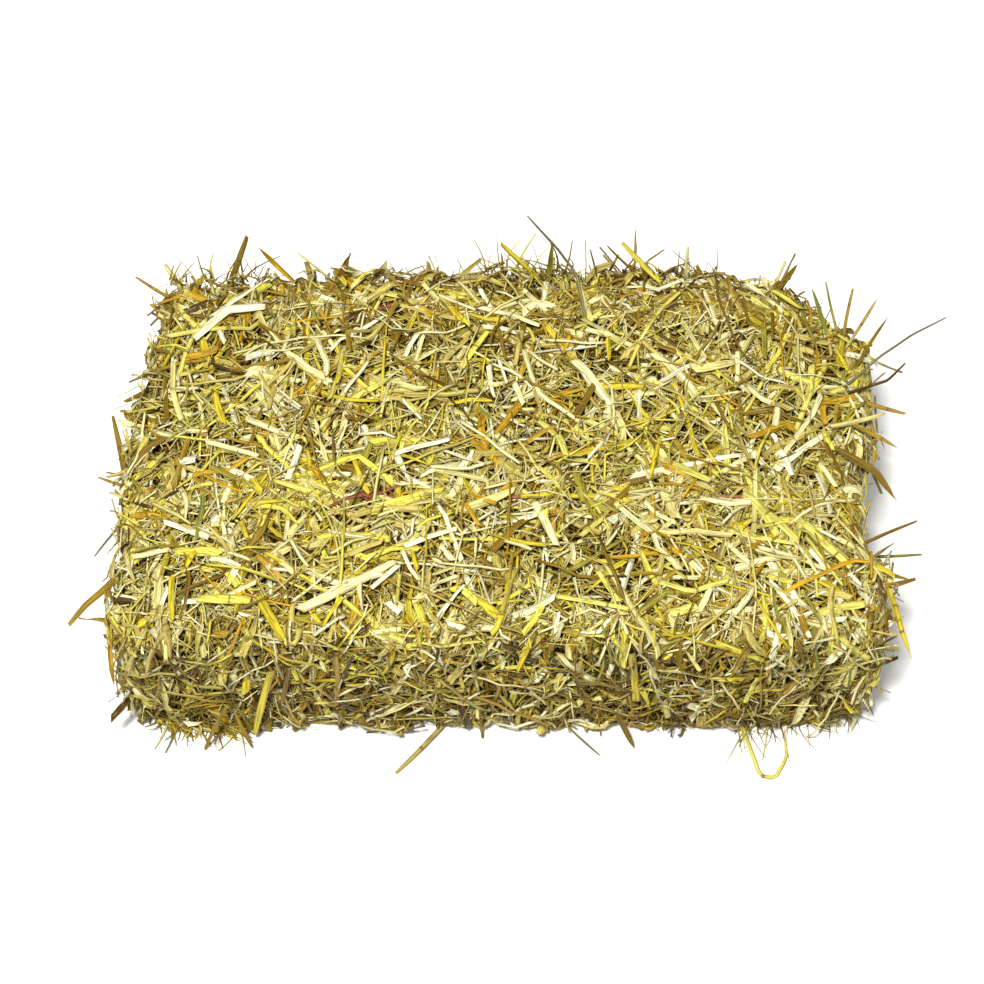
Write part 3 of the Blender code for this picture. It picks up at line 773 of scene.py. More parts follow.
def map_cells(chance, spots, heights, shares):
    """A row and a column of the straw's map for each straw.

    Painted shade: a share of the straw on the bale's sides, less near the top and more where it lies
    deep, takes its colour from the dull and shade colours instead. So does BACK_DULLING of it along the
    back of the top, and up to PATCH_DULLING in patches, as dull straw.
    """
    count = len(spots)
    sideways = smooth_step((SIDE_FROM - outward(spots)[:, 2]) / SIDE_BLEND)
    # painted shade on the sides, more where the straw lies deep and towards the foot
    share = SIDE_SHADING + DEEP_SHADING * smooth_step((DEEP_FROM - heights) / DEEP_BLEND)
    share = share * sideways * (FOOT_SHADING - SHADING_LOST * spots[:, 2] / SHADING_HEIGHT)
    share = share + BACK_DULLING * smooth_step((spots[:, 1] - BACK_FROM) / BACK_BLEND)
    share = share + PATCH_DULLING * smooth_step(0.5 + crossed_waves(spots, PATCHES))
    dulled_or_shaded = chance.random(count) < share
    dull_or_shade_rows = picked_rows(chance, count, DULL_AND_SHADE_COLOURS)
    return cells_of_rows(chance, np.where(dulled_or_shaded, dull_or_shade_rows, picked_rows(chance, count, shares)))


STEM_COLOURS = {"bleached": 11, "cream": 16, "pale": 17, "straw": 14, "bright": 10, "lemon": 8,
                "yellow": 10, "orange": 6, "buff": 5, "tan": 5, "olive": 5, "green": 1, "brown": 2,
                "dull": 3}
CHAFF_COLOURS = {"bleached": 9, "cream": 13, "pale": 15, "straw": 14, "bright": 4, "lemon": 6,
                 "yellow": 6, "orange": 4, "buff": 8, "tan": 9, "olive": 5, "green": 1,
                 "brown": 6, "dark": 4, "grey": 1, "dull": 6}
# Each kind's outline, how many lie on a square metre, how many points its path has, its length and
# width, its thickness over its width, how its tip tapers, how it lies, and its colours
KINDS = (
    dict(outline="split", per_m2=6500, stations=5, length=(0.014, 0.056), width=(0.0028, 0.0066),
         thickness=(0.26, 0.55), taper=0.45, depth=(-0.0095, 0.0015), tilt=0.13, bow=0.03,
         hold=(0.2, 1.0), curl=0.18, kinked=0.20, roll=0.45, twist=0.6, colours=STEM_COLOURS),
    dict(outline="stem", per_m2=11500, stations=5, length=(0.016, 0.060), width=(0.0009, 0.0025),
         thickness=(0.8, 1.0), taper=0.3, depth=(-0.0090, 0.0020), tilt=0.15, bow=0.05,
         hold=(0.2, 1.0), curl=0.35, kinked=0.25, roll=0.50, twist=0.5, colours=STEM_COLOURS),
    dict(outline="ribbon", per_m2=3400, stations=6, length=(0.014, 0.048), width=(0.0024, 0.0060),
         thickness=(0.05, 0.09), taper=0.7, depth=(-0.0085, 0.0020), tilt=0.15, bow=0.08,
         hold=(0.2, 0.9), curl=0.60, kinked=0.25, roll=0.60, twist=1.8, colours=STEM_COLOURS),
    dict(outline="husk", per_m2=7000, stations=3, length=(0.006, 0.015), width=(0.0018, 0.0038),
         thickness=(0.10, 0.20), taper=0.6, depth=(-0.0085, 0.0015), tilt=0.20, bow=0.12,
         hold=(0.3, 1.0), curl=0.5, kinked=0.0, roll=0.60, twist=0.8, colours=CHAFF_COLOURS),
    dict(outline="split", per_m2=320, stations=9, length=(0.055, 0.095), width=(0.0026, 0.0046),
         thickness=(0.30, 0.55), taper=0.4, depth=(-0.0010, 0.0022), tilt=0.03, bow=0.02,
         hold=(0.3, 0.7), curl=0.20, kinked=0.35, roll=0.3, twist=0.5, colours=STEM_COLOURS),
    dict(outline="stem", per_m2=800, stations=9, length=(0.050, 0.100), width=(0.0011, 0.0021),
         thickness=(0.8, 1.0), taper=0.4, depth=(-0.0010, 0.0028), tilt=0.04, bow=0.03,
         hold=(0.3, 0.8), curl=0.40, kinked=0.45, roll=0.3, twist=0.5, colours=STEM_COLOURS),
    dict(outline="chaff", per_m2=36000, stations=3, length=(0.008, 0.030), width=(0.0004, 0.0012),
         thickness=(0.8, 1.2), taper=0.4, depth=(-0.0085, 0.0024), tilt=0.18, bow=0.07,
         hold=(0.2, 1.0), curl=0.80, kinked=0.3, roll=1.0, twist=0.8, colours=CHAFF_COLOURS),
)
CUT_SLANT = 1.2
SIDE_FOOT = 0.004
UNDERSIDE_SHARE = 0.28
UPRIGHT_SIDE_SHARE = 1.1
END_SHARE = 0.85
COVER_SEED = 1200


def straws_of_kind(chance, spots, kind):
    """Straws of one kind through the given spots, with their widths, cuts and colours."""
    count = len(spots)
    paths, ups = straw_paths(chance, spots, kind)
    s = np.linspace(0, 1, kind["stations"])
    width = chance.uniform(*kind["width"], count)
    widths = width[:, None] * (1 - kind["taper"] * chance.random(count)[:, None] * s ** 3)
    thicknesses = widths * chance.uniform(*kind["thickness"], count)[:, None]
    slants = chance.uniform(-CUT_SLANT, CUT_SLANT, (count, 2))
    heights = height_over_straw(paths[:, kind["stations"] // 2])
    cells = map_cells(chance, spots, heights, kind["colours"])
    return straw_arrays(paths, ups, widths, thicknesses, kind["outline"], cells, slants)


def straw_cover(chance, sides):
    """All kinds of loose straw over some sides of the bale, as one set of arrays."""
    area = sum(covered_areas(sides))
    return join_arrays([
        straws_of_kind(chance, surface_spots(chance, sides, int(area * kind["per_m2"])), kind)
        for kind in KINDS])


def flake_sides(number):
    """The rectangles of a flake's top, underside, front and back: fixed axis, corners and share."""
    low_x, high_x = FLAKE_EDGES[number], FLAKE_EDGES[number + 1]
    front, back, top = -FLAKE_FRONT[number], FLAKE_BACK[number], FLAKE_HEIGHT[number]
    return ((2, (low_x, front, top), (high_x, back, top), 1.0),
            (2, (low_x, front, 0.0), (high_x, back, 0.0), UNDERSIDE_SHARE),
            (1, (low_x, front, SIDE_FOOT), (high_x, front, top), UPRIGHT_SIDE_SHARE),
            (1, (low_x, back, SIDE_FOOT), (high_x, back, top), UPRIGHT_SIDE_SHARE))


def end_sides(side):
    """The rectangle of one end of the bale, in the same form."""
    x = side * HALF_LENGTH
    return ((0, (x, -FLAKE_FRONT[0], SIDE_FOOT), (x, FLAKE_BACK[0], FLAKE_HEIGHT[0]), END_SHARE),)


loose_straw = straw_finish()
covers = [(f"{node}_loose_straw", node, flake_sides(number)) for number, node in enumerate(FLAKES)]
covers += [("left_end_loose_straw", FLAKES[0], end_sides(-1)),
           ("right_end_loose_straw", FLAKES[-1], end_sides(1))]
for seed, (name, node, sides) in enumerate(covers):
    chance = np.random.default_rng(COVER_SEED + seed)
    cover = mesh_piece(name, loose_straw, *straw_cover(chance, sides))
    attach(cover, "root")
    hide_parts(node)


# The fringe: straws that stand out of the bale's edges and out of its ends, held by one end only.
# They are the same split stems, stems, ribbons and chaff, with more of their length free.

FRINGE_PER_METRE = 460
FRINGE_CLUMPS_PER_METRE = 34
FRINGE_KINDS = tuple(dict(kind, depth=(-0.003, 0.004), tilt=tilt, hold=(0.0, 0.3), length=length)
                     for kind, tilt, length in (
                         (KINDS[0], 0.40, (0.016, 0.040)), (KINDS[1], 0.45, (0.016, 0.044)),
                         (KINDS[2], 0.42, (0.016, 0.040)), (KINDS[-1], 0.50, (0.012, 0.034))))
FOOT_KINDS = tuple(dict(kind, depth=(-0.006, 0.001), tilt=0.2, hold=(0.2, 0.8))
                   for kind in FRINGE_KINDS)
FRINGE_SHARES = (0.16, 0.32, 0.14, 0.38)
FRINGE_SPREAD = 0.007
FRINGE_CLUMP_SPREAD = 0.012
FRINGE_LOWEST = 0.004
FRINGE_SEED = 2300


def edge_spots(chance, start, end, count):
    """Random spots near the line from start to end, in clumps, drawn onto the straw's surface."""
    clumps = chance.random(max(int(FRINGE_CLUMPS_PER_METRE * math.dist(start, end)), 1))
    share = chance.choice(clumps, (count, 1)) + chance.normal(0, FRINGE_CLUMP_SPREAD, (count, 1))
    spots = np.array(start) + np.clip(share, 0, 1) * np.subtract(end, start)
    spots = drawn_onto_straw(spots + chance.normal(0, FRINGE_SPREAD, (count, 3)))
    spots[:, 2] = np.maximum(spots[:, 2], FRINGE_LOWEST)
    return spots


HIGH = 0.140
FRONT_Y, BACK_Y = -0.141, 0.142
EDGES = {
    "back_edge": ((-0.235, BACK_Y, HIGH), (0.235, BACK_Y, HIGH)),
    "front_edge": ((-0.240, FRONT_Y, HIGH), (0.240, FRONT_Y, HIGH)),
    "front_foot": ((-0.240, FRONT_Y, 0.006), (0.240, FRONT_Y, 0.006)),
    "back_foot": ((-0.240, BACK_Y, 0.006), (0.240, BACK_Y, 0.006)),
    "left_edge": ((-HALF_LENGTH, -0.130, HIGH - 0.01), (-HALF_LENGTH, 0.130, HIGH - 0.01)),
    "right_edge": ((HALF_LENGTH, -0.130, HIGH - 0.01), (HALF_LENGTH, 0.130, HIGH - 0.01)),
    "left_front_corner": ((-HALF_LENGTH, -0.135, 0.02), (-HALF_LENGTH, -0.135, 0.13)),
    "right_front_corner": ((HALF_LENGTH, -0.135, 0.02), (HALF_LENGTH, -0.135, 0.13)),
    "left_back_corner": ((-HALF_LENGTH, 0.132, 0.02), (-HALF_LENGTH, 0.132, 0.13)),
    "right_back_corner": ((HALF_LENGTH, 0.132, 0.02), (HALF_LENGTH, 0.132, 0.13)),
}
for seed, (name, (start, end)) in enumerate(EDGES.items()):
    chance = np.random.default_rng(FRINGE_SEED + seed)
    count = int(FRINGE_PER_METRE * math.dist(start, end))
    fringe = mesh_piece(f"{name}_fringe", loose_straw, *join_arrays([
        straws_of_kind(chance, edge_spots(chance, start, end, int(count * share)), kind)
        for kind, share in zip(FOOT_KINDS if name == "front_foot" else FRINGE_KINDS, FRINGE_SHARES)]))
    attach(fringe, "root")


# The baling twines: red plastic film twisted to a cord of about 3 mm, faded where the sun reached it.
# Each runs once round the bale lengthwise and is tied on top with an overhand knot.

TWINE_RADIUS = 0.00145
TWINE_TOP_BEND = 0.013
TWINE_FOOT_BEND = 0.006
TWINE_STEP = 0.0016
TWINE_TWIST_LENGTH = 0.014
TWINE_AROUND = 12
KNOT_X = (-0.086, -0.077)
KNOT_SIZE = (0.0042, 0.0026, 0.0016)
KNOT_RISE = 0.0022
KNOT_POINTS = 70
TAIL_RADIUS = 0.0011
TAIL_LENGTH = 0.026
TAIL_TURN, TAIL_CURL = 0.002, 0.009
TAIL_RISE = 0.004
TAIL_POINTS = 18
TWINE_HEIGHT = 0.138
TWINE_INSET = 0.005
TWINE_CLEARANCE = 0.0004
TWINE_BEND_POINTS = 13
TWINE_COVER = 0.0030
TWINE_SUNK_FROM, TWINE_SUNK_BLEND = 0.185, 0.02
TWINE_SUNK_ABOVE, TWINE_SUNK_RISE = 0.06, 0.03
TWINE_SUNK_ROUNDS = 2
TWINE_SIDEWAYS = 0.9
STRANDS = 3
STRAND_CORE, STRAND_LOBE = 0.82, 0.18
TWINE_NODES = ("twine_front", "twine_back")
TWINE_COLOURS = ((0.30, (0.13, 0.022, 0.008)), (0.52, (0.19, 0.040, 0.015)),
                 (0.70, (0.26, 0.10, 0.048)))
WORN_COLOUR = (0.34, 0.20, 0.10, 1)


def twine_finish():
    """Dull red with paler worn strands that run round the twist, and straw dust on it."""
    finish, tree, shader = new_finish("red_twine")
    place = Value.start(tree, "ShaderNodeTexCoord", output="Object")
    patches = place.node("ShaderNodeTexNoise", values={"Vector": place, "Scale": 60.0, "Detail": 3.0})
    strands = place.node("ShaderNodeMapping", values={"Vector": place, "Scale": (900, 2600, 2600)})
    strands = place.node("ShaderNodeTexNoise", values={
        "Vector": strands, "Scale": 1.0, "Detail": 2.0})
    colour = patches.ramp(TWINE_COLOURS)
    colour = colour.blend(WORN_COLOUR, strands.between(0.52, 0.72) * 0.55)
    bump = strands.node("ShaderNodeBump", values={
        "Height": strands, "Strength": 0.5, "Distance": 0.0003})
    tree.links.new(colour.socket, shader.inputs["Base Color"])
    tree.links.new(bump.socket, shader.inputs["Normal"])
    shader.inputs["Roughness"].default_value = 0.6
    return finish


def loop_route(reaches, low, high, line):
    """Points TWINE_STEP apart on a rectangle with round corners, in the plane y = line."""
    corners = []
    for side, centre_z, bend, start, end in (
            (1, high - TWINE_TOP_BEND, TWINE_TOP_BEND, 90, 0),
            (1, low + TWINE_FOOT_BEND, TWINE_FOOT_BEND, 0, -90),
            (-1, low + TWINE_FOOT_BEND, TWINE_FOOT_BEND, -90, -180),
            (-1, high - TWINE_TOP_BEND, TWINE_TOP_BEND, -180, -270)):
        turn = np.radians(np.linspace(start, end, TWINE_BEND_POINTS))
        corners.append(np.stack([side * (reaches[side] - bend) + bend * np.cos(turn),
                                 np.full(TWINE_BEND_POINTS, line),
                                 centre_z + bend * np.sin(turn)], -1))
    route = np.concatenate(corners + [corners[0][:1]])
    return even_points(route, int(way_along(route)[-1] / TWINE_STEP))


def sunk_route(route):
    """The route with its upper bends drawn in until TWINE_COVER of straw lies over them."""
    near_end = smooth_step((np.abs(route[:, 0]) - TWINE_SUNK_FROM) / TWINE_SUNK_BLEND)
    high_up = smooth_step((route[:, 2] - TWINE_SUNK_ABOVE) / TWINE_SUNK_RISE)
    for _ in range(TWINE_SUNK_ROUNDS):
        depth = np.maximum(height_over_straw(route) + TWINE_COVER, 0) * near_end * high_up
        route = route - outward(route) * depth[:, None]
    return route


def strand_surface(route, radius, closed):
    """A round twine of STRANDS strands, twisted once round in each TWINE_TWIST_LENGTH.

    Ring radius = radius * (core + lobe * |cos(STRANDS / 2 * (angle + twist))|).
    """
    along = unit(np.gradient(route, axis=0))
    if closed:
        along[0] = along[-1] = unit(route[1] - route[-2])
    sideways = np.abs(along[:, 1:2]) > TWINE_SIDEWAYS
    away = np.where(sideways, (1.0, 0.0, 0.0), (0.0, 1.0, 0.0))
    side = unit(np.cross(along, away))
    up = np.cross(side, along)
    angle = np.arange(TWINE_AROUND) * 2 * math.pi / TWINE_AROUND
    way = way_along(route)
    turns = round(way[-1] / TWINE_TWIST_LENGTH) if closed else way[-1] / TWINE_TWIST_LENGTH
    twist = 2 * math.pi * turns * way / way[-1]
    lobes = STRAND_CORE + STRAND_LOBE * np.abs(np.cos(STRANDS / 2 * (angle + twist[:, None])))
    ring = radius * lobes[..., None] * (np.cos(angle)[:, None] * side[:, None, :]
                                        + np.sin(angle)[:, None] * up[:, None, :])
    points = route[:, None, :] + ring
    if closed:
        points = points[:-1]
    corners, counts = sweep_faces(len(points), TWINE_AROUND)
    if closed:
        spot = np.arange(TWINE_AROUND)
        last = (len(points) - 1) * TWINE_AROUND + spot
        closing = np.stack([last, (last + 1) - TWINE_AROUND * (spot == TWINE_AROUND - 1),
                            (spot + 1) % TWINE_AROUND, spot], -1).reshape(-1)
        corners = np.concatenate([corners[:-2 * TWINE_AROUND], closing])
        counts = np.concatenate([counts[:-2], np.full(TWINE_AROUND, 4)])
    return points.reshape(-1, 3), corners, counts


def knot_route(centre):
    """An overhand knot as a closed curve, flattened onto the bale.

    Point = centre + size * (sin t + 2 sin 2t, cos t - 2 cos 2t, -sin 3t), half as large along X and Y.
    """
    turn = np.linspace(0, 2 * math.pi, KNOT_POINTS)
    shape = np.stack([np.sin(turn) + 2 * np.sin(2 * turn), np.cos(turn) - 2 * np.cos(2 * turn),
                      -np.sin(3 * turn)], -1)
    return centre + shape * np.array(KNOT_SIZE) / (2, 2, 1)


def tail_route(start, side):
    """A short end of twine that lies over the straw: it runs out, turns aside and rises a little."""
    s = np.linspace(0, 1, TAIL_POINTS)
    aside = side * (TAIL_TURN * s + TAIL_CURL * s * s)
    return start + np.stack([side * TAIL_LENGTH * s, aside, TAIL_RISE * s], -1)


red_twine = twine_finish()
for node, line, knot_x in zip(TWINE_NODES, TWINE_LINES, KNOT_X):
    low_corner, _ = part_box(node)
    ends = {side: HALF_LENGTH - float(draw_in(steps, line))
            for side, steps in ((-1, LEFT_END), (1, RIGHT_END))}
    reaches = {side: end - TWINE_INSET + TWINE_CLEARANCE + TWINE_RADIUS
               for side, end in ends.items()}
    low = low_corner[2] + TWINE_RADIUS
    high = TWINE_HEIGHT + TWINE_CLEARANCE + TWINE_RADIUS
    knot_centre = np.array((knot_x, line, high + KNOT_RISE))
    route = sunk_route(loop_route(reaches, low, high, line))
    twine = mesh_piece(f"{node}_strands", red_twine, *join_arrays([
        strand_surface(route, TWINE_RADIUS, True),
        strand_surface(knot_route(knot_centre), TAIL_RADIUS, True),
        strand_surface(tail_route(knot_centre, -1), TAIL_RADIUS, False),
        strand_surface(tail_route(knot_centre, 1), TAIL_RADIUS, False)]), smooth=True)
    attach(twine, "root")
    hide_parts(node)


# The straw that lies across the twines. It worked over them as the bale was handled, so that they
# show only at TWINE_OPENINGS. It is the same loose straw, close to the surface and without the
# longest kinds.

CROSSING_PER_METRE = {"split": 150, "stem": 330, "ribbon": 100, "husk": 250, "chaff": 1000}
CROSSING_SPREAD = 0.0055
CROSSING_DEPTH = (-0.0015, 0.0022)
CROSSING_TILT = 0.04
CROSSING_HOLD = (0.5, 1.0)
CROSSING_LONGEST = 0.036
LONG_STATIONS = 9
# The top and the two ends, each with the length of twine that its straws are counted for
CROSSING_WAYS = (("top", 0.48), (-1, 0.132), (1, 0.132))
CROSSING_TOP_REACH = 0.252
CROSSING_TOP_START = 0.146
CROSSING_END_HEIGHTS = (0.006, 0.138)
CROSSING_ROUNDS = 4
CROSSING_SEED = 2700
OPENING_MARGIN = 0.003


def crossing_spots(chance, line, side, count):
    """Random spots along a twine's way over the top or down an end, clear of the openings."""
    if side == "top":
        x = chance.uniform(-CROSSING_TOP_REACH, CROSSING_TOP_REACH, count)
        y = line + chance.normal(0, CROSSING_SPREAD, count)
        spots = np.stack([x, y, np.full(count, CROSSING_TOP_START)], -1)
        for opening_line, low, far in TWINE_OPENINGS:
            inside = (spots[:, 0] > low - OPENING_MARGIN) & (spots[:, 0] < far + OPENING_MARGIN)
            spots = spots[~(inside & (opening_line == line))]
    else:
        y = line + chance.normal(0, CROSSING_SPREAD, count)
        z = chance.uniform(*CROSSING_END_HEIGHTS, count)
        spots = np.stack([np.full(count, side * HALF_LENGTH), y, z], -1)
    return drawn_onto_straw(spots, CROSSING_ROUNDS)


crossing_kinds = [dict(kind, depth=CROSSING_DEPTH, tilt=CROSSING_TILT, hold=CROSSING_HOLD,
                       length=(kind["length"][0], min(kind["length"][1], CROSSING_LONGEST)))
                  for kind in KINDS if kind["stations"] < LONG_STATIONS]
for seed, (node, line) in enumerate(zip(TWINE_NODES, TWINE_LINES)):
    chance = np.random.default_rng(CROSSING_SEED + seed)
    crossing = mesh_piece(f"{node}_crossing_straw", loose_straw, *join_arrays([
        straws_of_kind(chance, crossing_spots(
            chance, line, side, int(CROSSING_PER_METRE[kind["outline"]] * length)), kind)
        for kind in crossing_kinds for side, length in CROSSING_WAYS]))
    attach(crossing, "root")


# The stray straws: single stems and leaves that stick out of the bale, hang down its front, lie on
# the floor before it or lie along its top. The root of each goes into the bale, except that those
# along the top only lie on it.

# Node, outline, colour, width, thickness and root depth in mm, then its points in mm, root first
STRAYS = (
    ("straw_back_thick", "split", "dull", 4.5, 2.5, 12,
     ((-188, 137, 147), (-181, 141, 166), (-174, 143, 184))),
    ("straw_back_left_blade", "ribbon", "orange", 4, 1, 12,
     ((-150, 137, 149), (-160, 141, 161), (-168, 143, 172))),
    ("straw_back_left_thin", "stem", "pale", 2, 2, 12, ((-125, 138, 148), (-141, 143, 165))),
    ("straw_back_tuft", "ribbon", "brown", 4, 1, 10, ((-112, 138, 149), (-105, 144, 162))),
    ("straw_back_middle_blade", "split", "yellow", 4, 2, 12, ((22, 139, 150), (0, 145, 173))),
    ("straw_back_tall_stem", "stem", "grey", 2.2, 2.2, 14,
     ((57, 113, 149), (54, 134, 153), (40, 143, 171), (18, 146, 202))),
    ("straw_back_green", "ribbon", "olive", 4, 1, 12, ((33, 132, 149), (35, 136, 186))),
    ("straw_back_thin", "stem", "brown", 1.6, 1.6, 12, ((66, 138, 151), (62, 144, 168))),
    ("straw_back_dark", "stem", "dull", 2, 2, 12, ((93, 139, 150), (74, 145, 170))),
    ("straw_back_yellow_blade", "split", "bright", 5, 2, 14, ((106, 137, 151), (84, 145, 174))),
    ("straw_back_pale", "split", "cream", 4, 2, 12, ((131, 138, 148), (130, 144, 171))),
    ("straw_back_brown", "ribbon", "brown", 4, 1, 10, ((198, 133, 144), (208, 142, 154))),
    ("straw_left_corner_low", "stem", "tan", 2.6, 2.6, 12, ((-237, 127, 139), (-255, 134, 149))),
    ("straw_left_corner_high", "split", "pale", 4, 2, 12, ((-226, 133, 142), (-235, 143, 152))),
    ("straw_right_green_wide", "ribbon", "green", 2.8, 1, 10, ((223, 98, 144), (216, 124, 152))),
    ("straw_right_green_thin", "stem", "olive", 2, 2, 10, ((231, 101, 145), (226, 126, 154))),
    ("straw_right_corner_upright", "stem", "tan", 2.6, 2.6, 10, ((239, 97, 144), (244, 119, 156))),
    ("straw_right_corner_blade", "ribbon", "buff", 2.8, 1, 12, ((244, 88, 145), (261, 112, 157))),
    ("straw_right_back_blade", "ribbon", "dull", 2.4, 1, 12, ((249, 72, 144), (268, 100, 151))),
    ("straw_right_grey_stem", "stem", "grey", 1.8, 1.8, 16,
     ((245, 56, 147), (258, 67, 151), (280, 80, 158), (304, 91, 161))),
    ("straw_right_dark_curved", "stem", "dark", 2.2, 2.2, 12,
     ((246, 44, 146), (262, 49, 148), (275, 61, 150))),
    ("straw_right_upper_tan", "split", "tan", 3, 2, 14, ((253, 36, 137), (273, 26, 141))),
    ("straw_right_level", "split", "pale", 3.4, 2, 10, ((230, 14, 148), (257, 20, 151))),
    ("straw_right_lower_tan", "ribbon", "tan", 3, 1, 12, ((241, 10, 147), (264, -6, 148))),
    ("straw_right_brown_leaf", "ribbon", "brown", 5, 1, 10,
     ((229, -10, 147), (246, -25, 149), (260, -42, 141))),
    ("straw_right_spray_back", "stem", "brown", 2.4, 2.4, 16, ((243, -66, 131), (274, -52, 132))),
    ("straw_right_spray_middle", "stem", "green", 2.4, 2.4, 16, ((245, -72, 121), (277, -71, 121))),
    ("straw_right_spray_front", "ribbon", "tan", 3.5, 1, 16, ((247, -78, 109), (272, -84, 109))),
    ("straw_right_spray_low", "split", "brown", 4, 2, 16, ((250, -94, 120), (271, -89, 121))),
    ("straw_right_golden_leaf", "ribbon", "yellow", 5, 1, 12,
     ((250, -112, 136), (255, -131, 129), (262, -146, 121))),
    ("straw_left_tan", "split", "tan", 4.5, 2, 14,
     ((-254, -98, 131), (-268, -113, 131), (-277, -127, 130))),
    ("straw_left_brown", "split", "dull", 4, 2, 14, ((-254, -8, 131), (-263, 28, 135))),
    ("straw_left_short", "stem", "tan", 2.6, 2.6, 14, ((-254, -22, 128), (-269, -18, 131))),
    ("straw_left_grey", "stem", "grey", 1.8, 1.8, 14, ((-254, -50, 120), (-268, -72, 120))),
    ("straw_left_golden", "ribbon", "orange", 3.2, 1, 12, ((-249, -144, 127), (-252, -152, 90))),
    ("straw_front_golden", "split", "yellow", 5, 2, 10,
     ((-150, -150, 98), (-160, -152, 50), (-169, -153, 12))),
    ("straw_front_left", "split", "tan", 3, 2, 10, ((-188, -150, 38), (-204, -160, 3))),
    ("straw_front_left_short", "ribbon", "tan", 3, 1, 10, ((-178, -150, 28), (-171, -160, 3))),
    ("straw_floor_tan", "split", "buff", 3.5, 2, 16, ((-47, -150, 5), (-72, -177, 2.5))),
    ("straw_floor_thin", "stem", "grey", 1.8, 1.8, 14, ((54, -151, 5), (68, -164, 2.5))),
    ("straw_floor_brown", "ribbon", "brown", 4.5, 1, 12, ((82, -151, 28), (92, -160, 4))),
    ("straw_floor_bent", "split", "lemon", 3, 1.5, 14,
     ((170, -152, 4), (178, -178, 2.5), (188, -180, 2.5), (197, -165, 2.5), (196, -153, 4))),
    ("straw_top_white_bent", "split", "bleached", 7, 2.5, 0,
     ((-211, 82, 149), (-189, 106, 149), (-163, 109, 149))),
    ("straw_top_yellow", "split", "bright", 7, 2.5, 0, ((-191, -117, 149), (-159, -119, 149))),
    ("straw_top_golden", "split", "yellow", 6, 2.5, 0, ((-154, -116, 149), (-135, -148, 147))),
    ("straw_top_long_pale", "split", "cream", 6, 2.5, 0, ((-128, -126, 150), (-68, -91, 150))),
    ("straw_top_bright", "split", "bright", 7.5, 2.5, 0, ((-84, -52, 148), (-38, -38, 148))),
    ("straw_top_long_split", "split", "pale", 6, 2.5, 0, ((-28, -53, 147), (9, -36, 147))),
    ("straw_top_right_pale", "split", "cream", 6, 2.5, 0, ((22, -46, 147), (36, -80, 150))),
)
MILLIMETRES = 1000
STRAY_STATIONS = 16
STRAY_SWAY = 0.012
# The way that a straw's broad side faces, and that of a straw whose way rises or falls past STEEP
STRAY_FACING = np.array((0, -0.35, 1))
STEEP = 0.75
STEEP_FACING = np.array((0, -1, 0.2))
STRAY_ROLL = 0.25
STRAY_TWIST = 0.5
STRAY_CUT = 1.0
STRAY_SEED = 3100
STEM_TAPER = 0.45
LEAF_TAPER = 0.85
LEAF_WIDEST = 0.45
LEAF_THINNESS = 0.35


def stray_arrays(chance, outline, colour, width, thickness, root_depth, points):
    """One straw along its points, with a slight sway, a tapered tip and its root in the bale.

    The root is carried back along the first stretch. Sway = STRAY_SWAY * length * sin(pi s).
    """
    points = np.array(points, dtype=float) / MILLIMETRES
    root = points[0] - unit(points[1] - points[0]) * root_depth / MILLIMETRES
    points = np.concatenate([[root], points]) if root_depth else points
    path = even_points(points, STRAY_STATIONS)
    s = np.linspace(0, 1, STRAY_STATIONS)
    along = unit(path[-1] - path[0])
    side = unit(np.cross(along, STRAY_FACING if abs(along[2]) < STEEP else STEEP_FACING))
    sway = STRAY_SWAY * way_along(points)[-1] * chance.choice([-1, 1]) * np.sin(math.pi * s)
    path = path + side * sway[:, None]
    roll = chance.normal(0, STRAY_ROLL) + chance.normal(0, STRAY_TWIST) * (s - 0.5)
    ups = unit(np.cross(side, along)) * np.cos(roll)[:, None] + side * np.sin(roll)[:, None]
    if outline == "ribbon":
        narrowing = 1 - LEAF_TAPER * np.abs(2 * (s - LEAF_WIDEST)) ** 3
        thinness = LEAF_THINNESS
    else:
        narrowing = 1 - STEM_TAPER * s ** 4
        thinness = 1
    widths = width / MILLIMETRES * narrowing
    thicknesses = thickness / MILLIMETRES * narrowing * thinness
    cells = cells_of_rows(chance, np.array([COLOUR_ROWS[colour]]))
    slants = chance.uniform(-STRAY_CUT, STRAY_CUT, (1, 2))
    return straw_arrays(path[None], ups[None], widths[None], thicknesses[None], outline, cells,
                        slants)


for seed, (node, outline, colour, width, thickness, root_depth, points) in enumerate(STRAYS):
    chance = np.random.default_rng(STRAY_SEED + seed)
    stray = mesh_piece(f"{node}_stalk", loose_straw, *stray_arrays(
        chance, outline, colour, width, thickness, root_depth, points))
    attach(stray, "root")
    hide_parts(node)
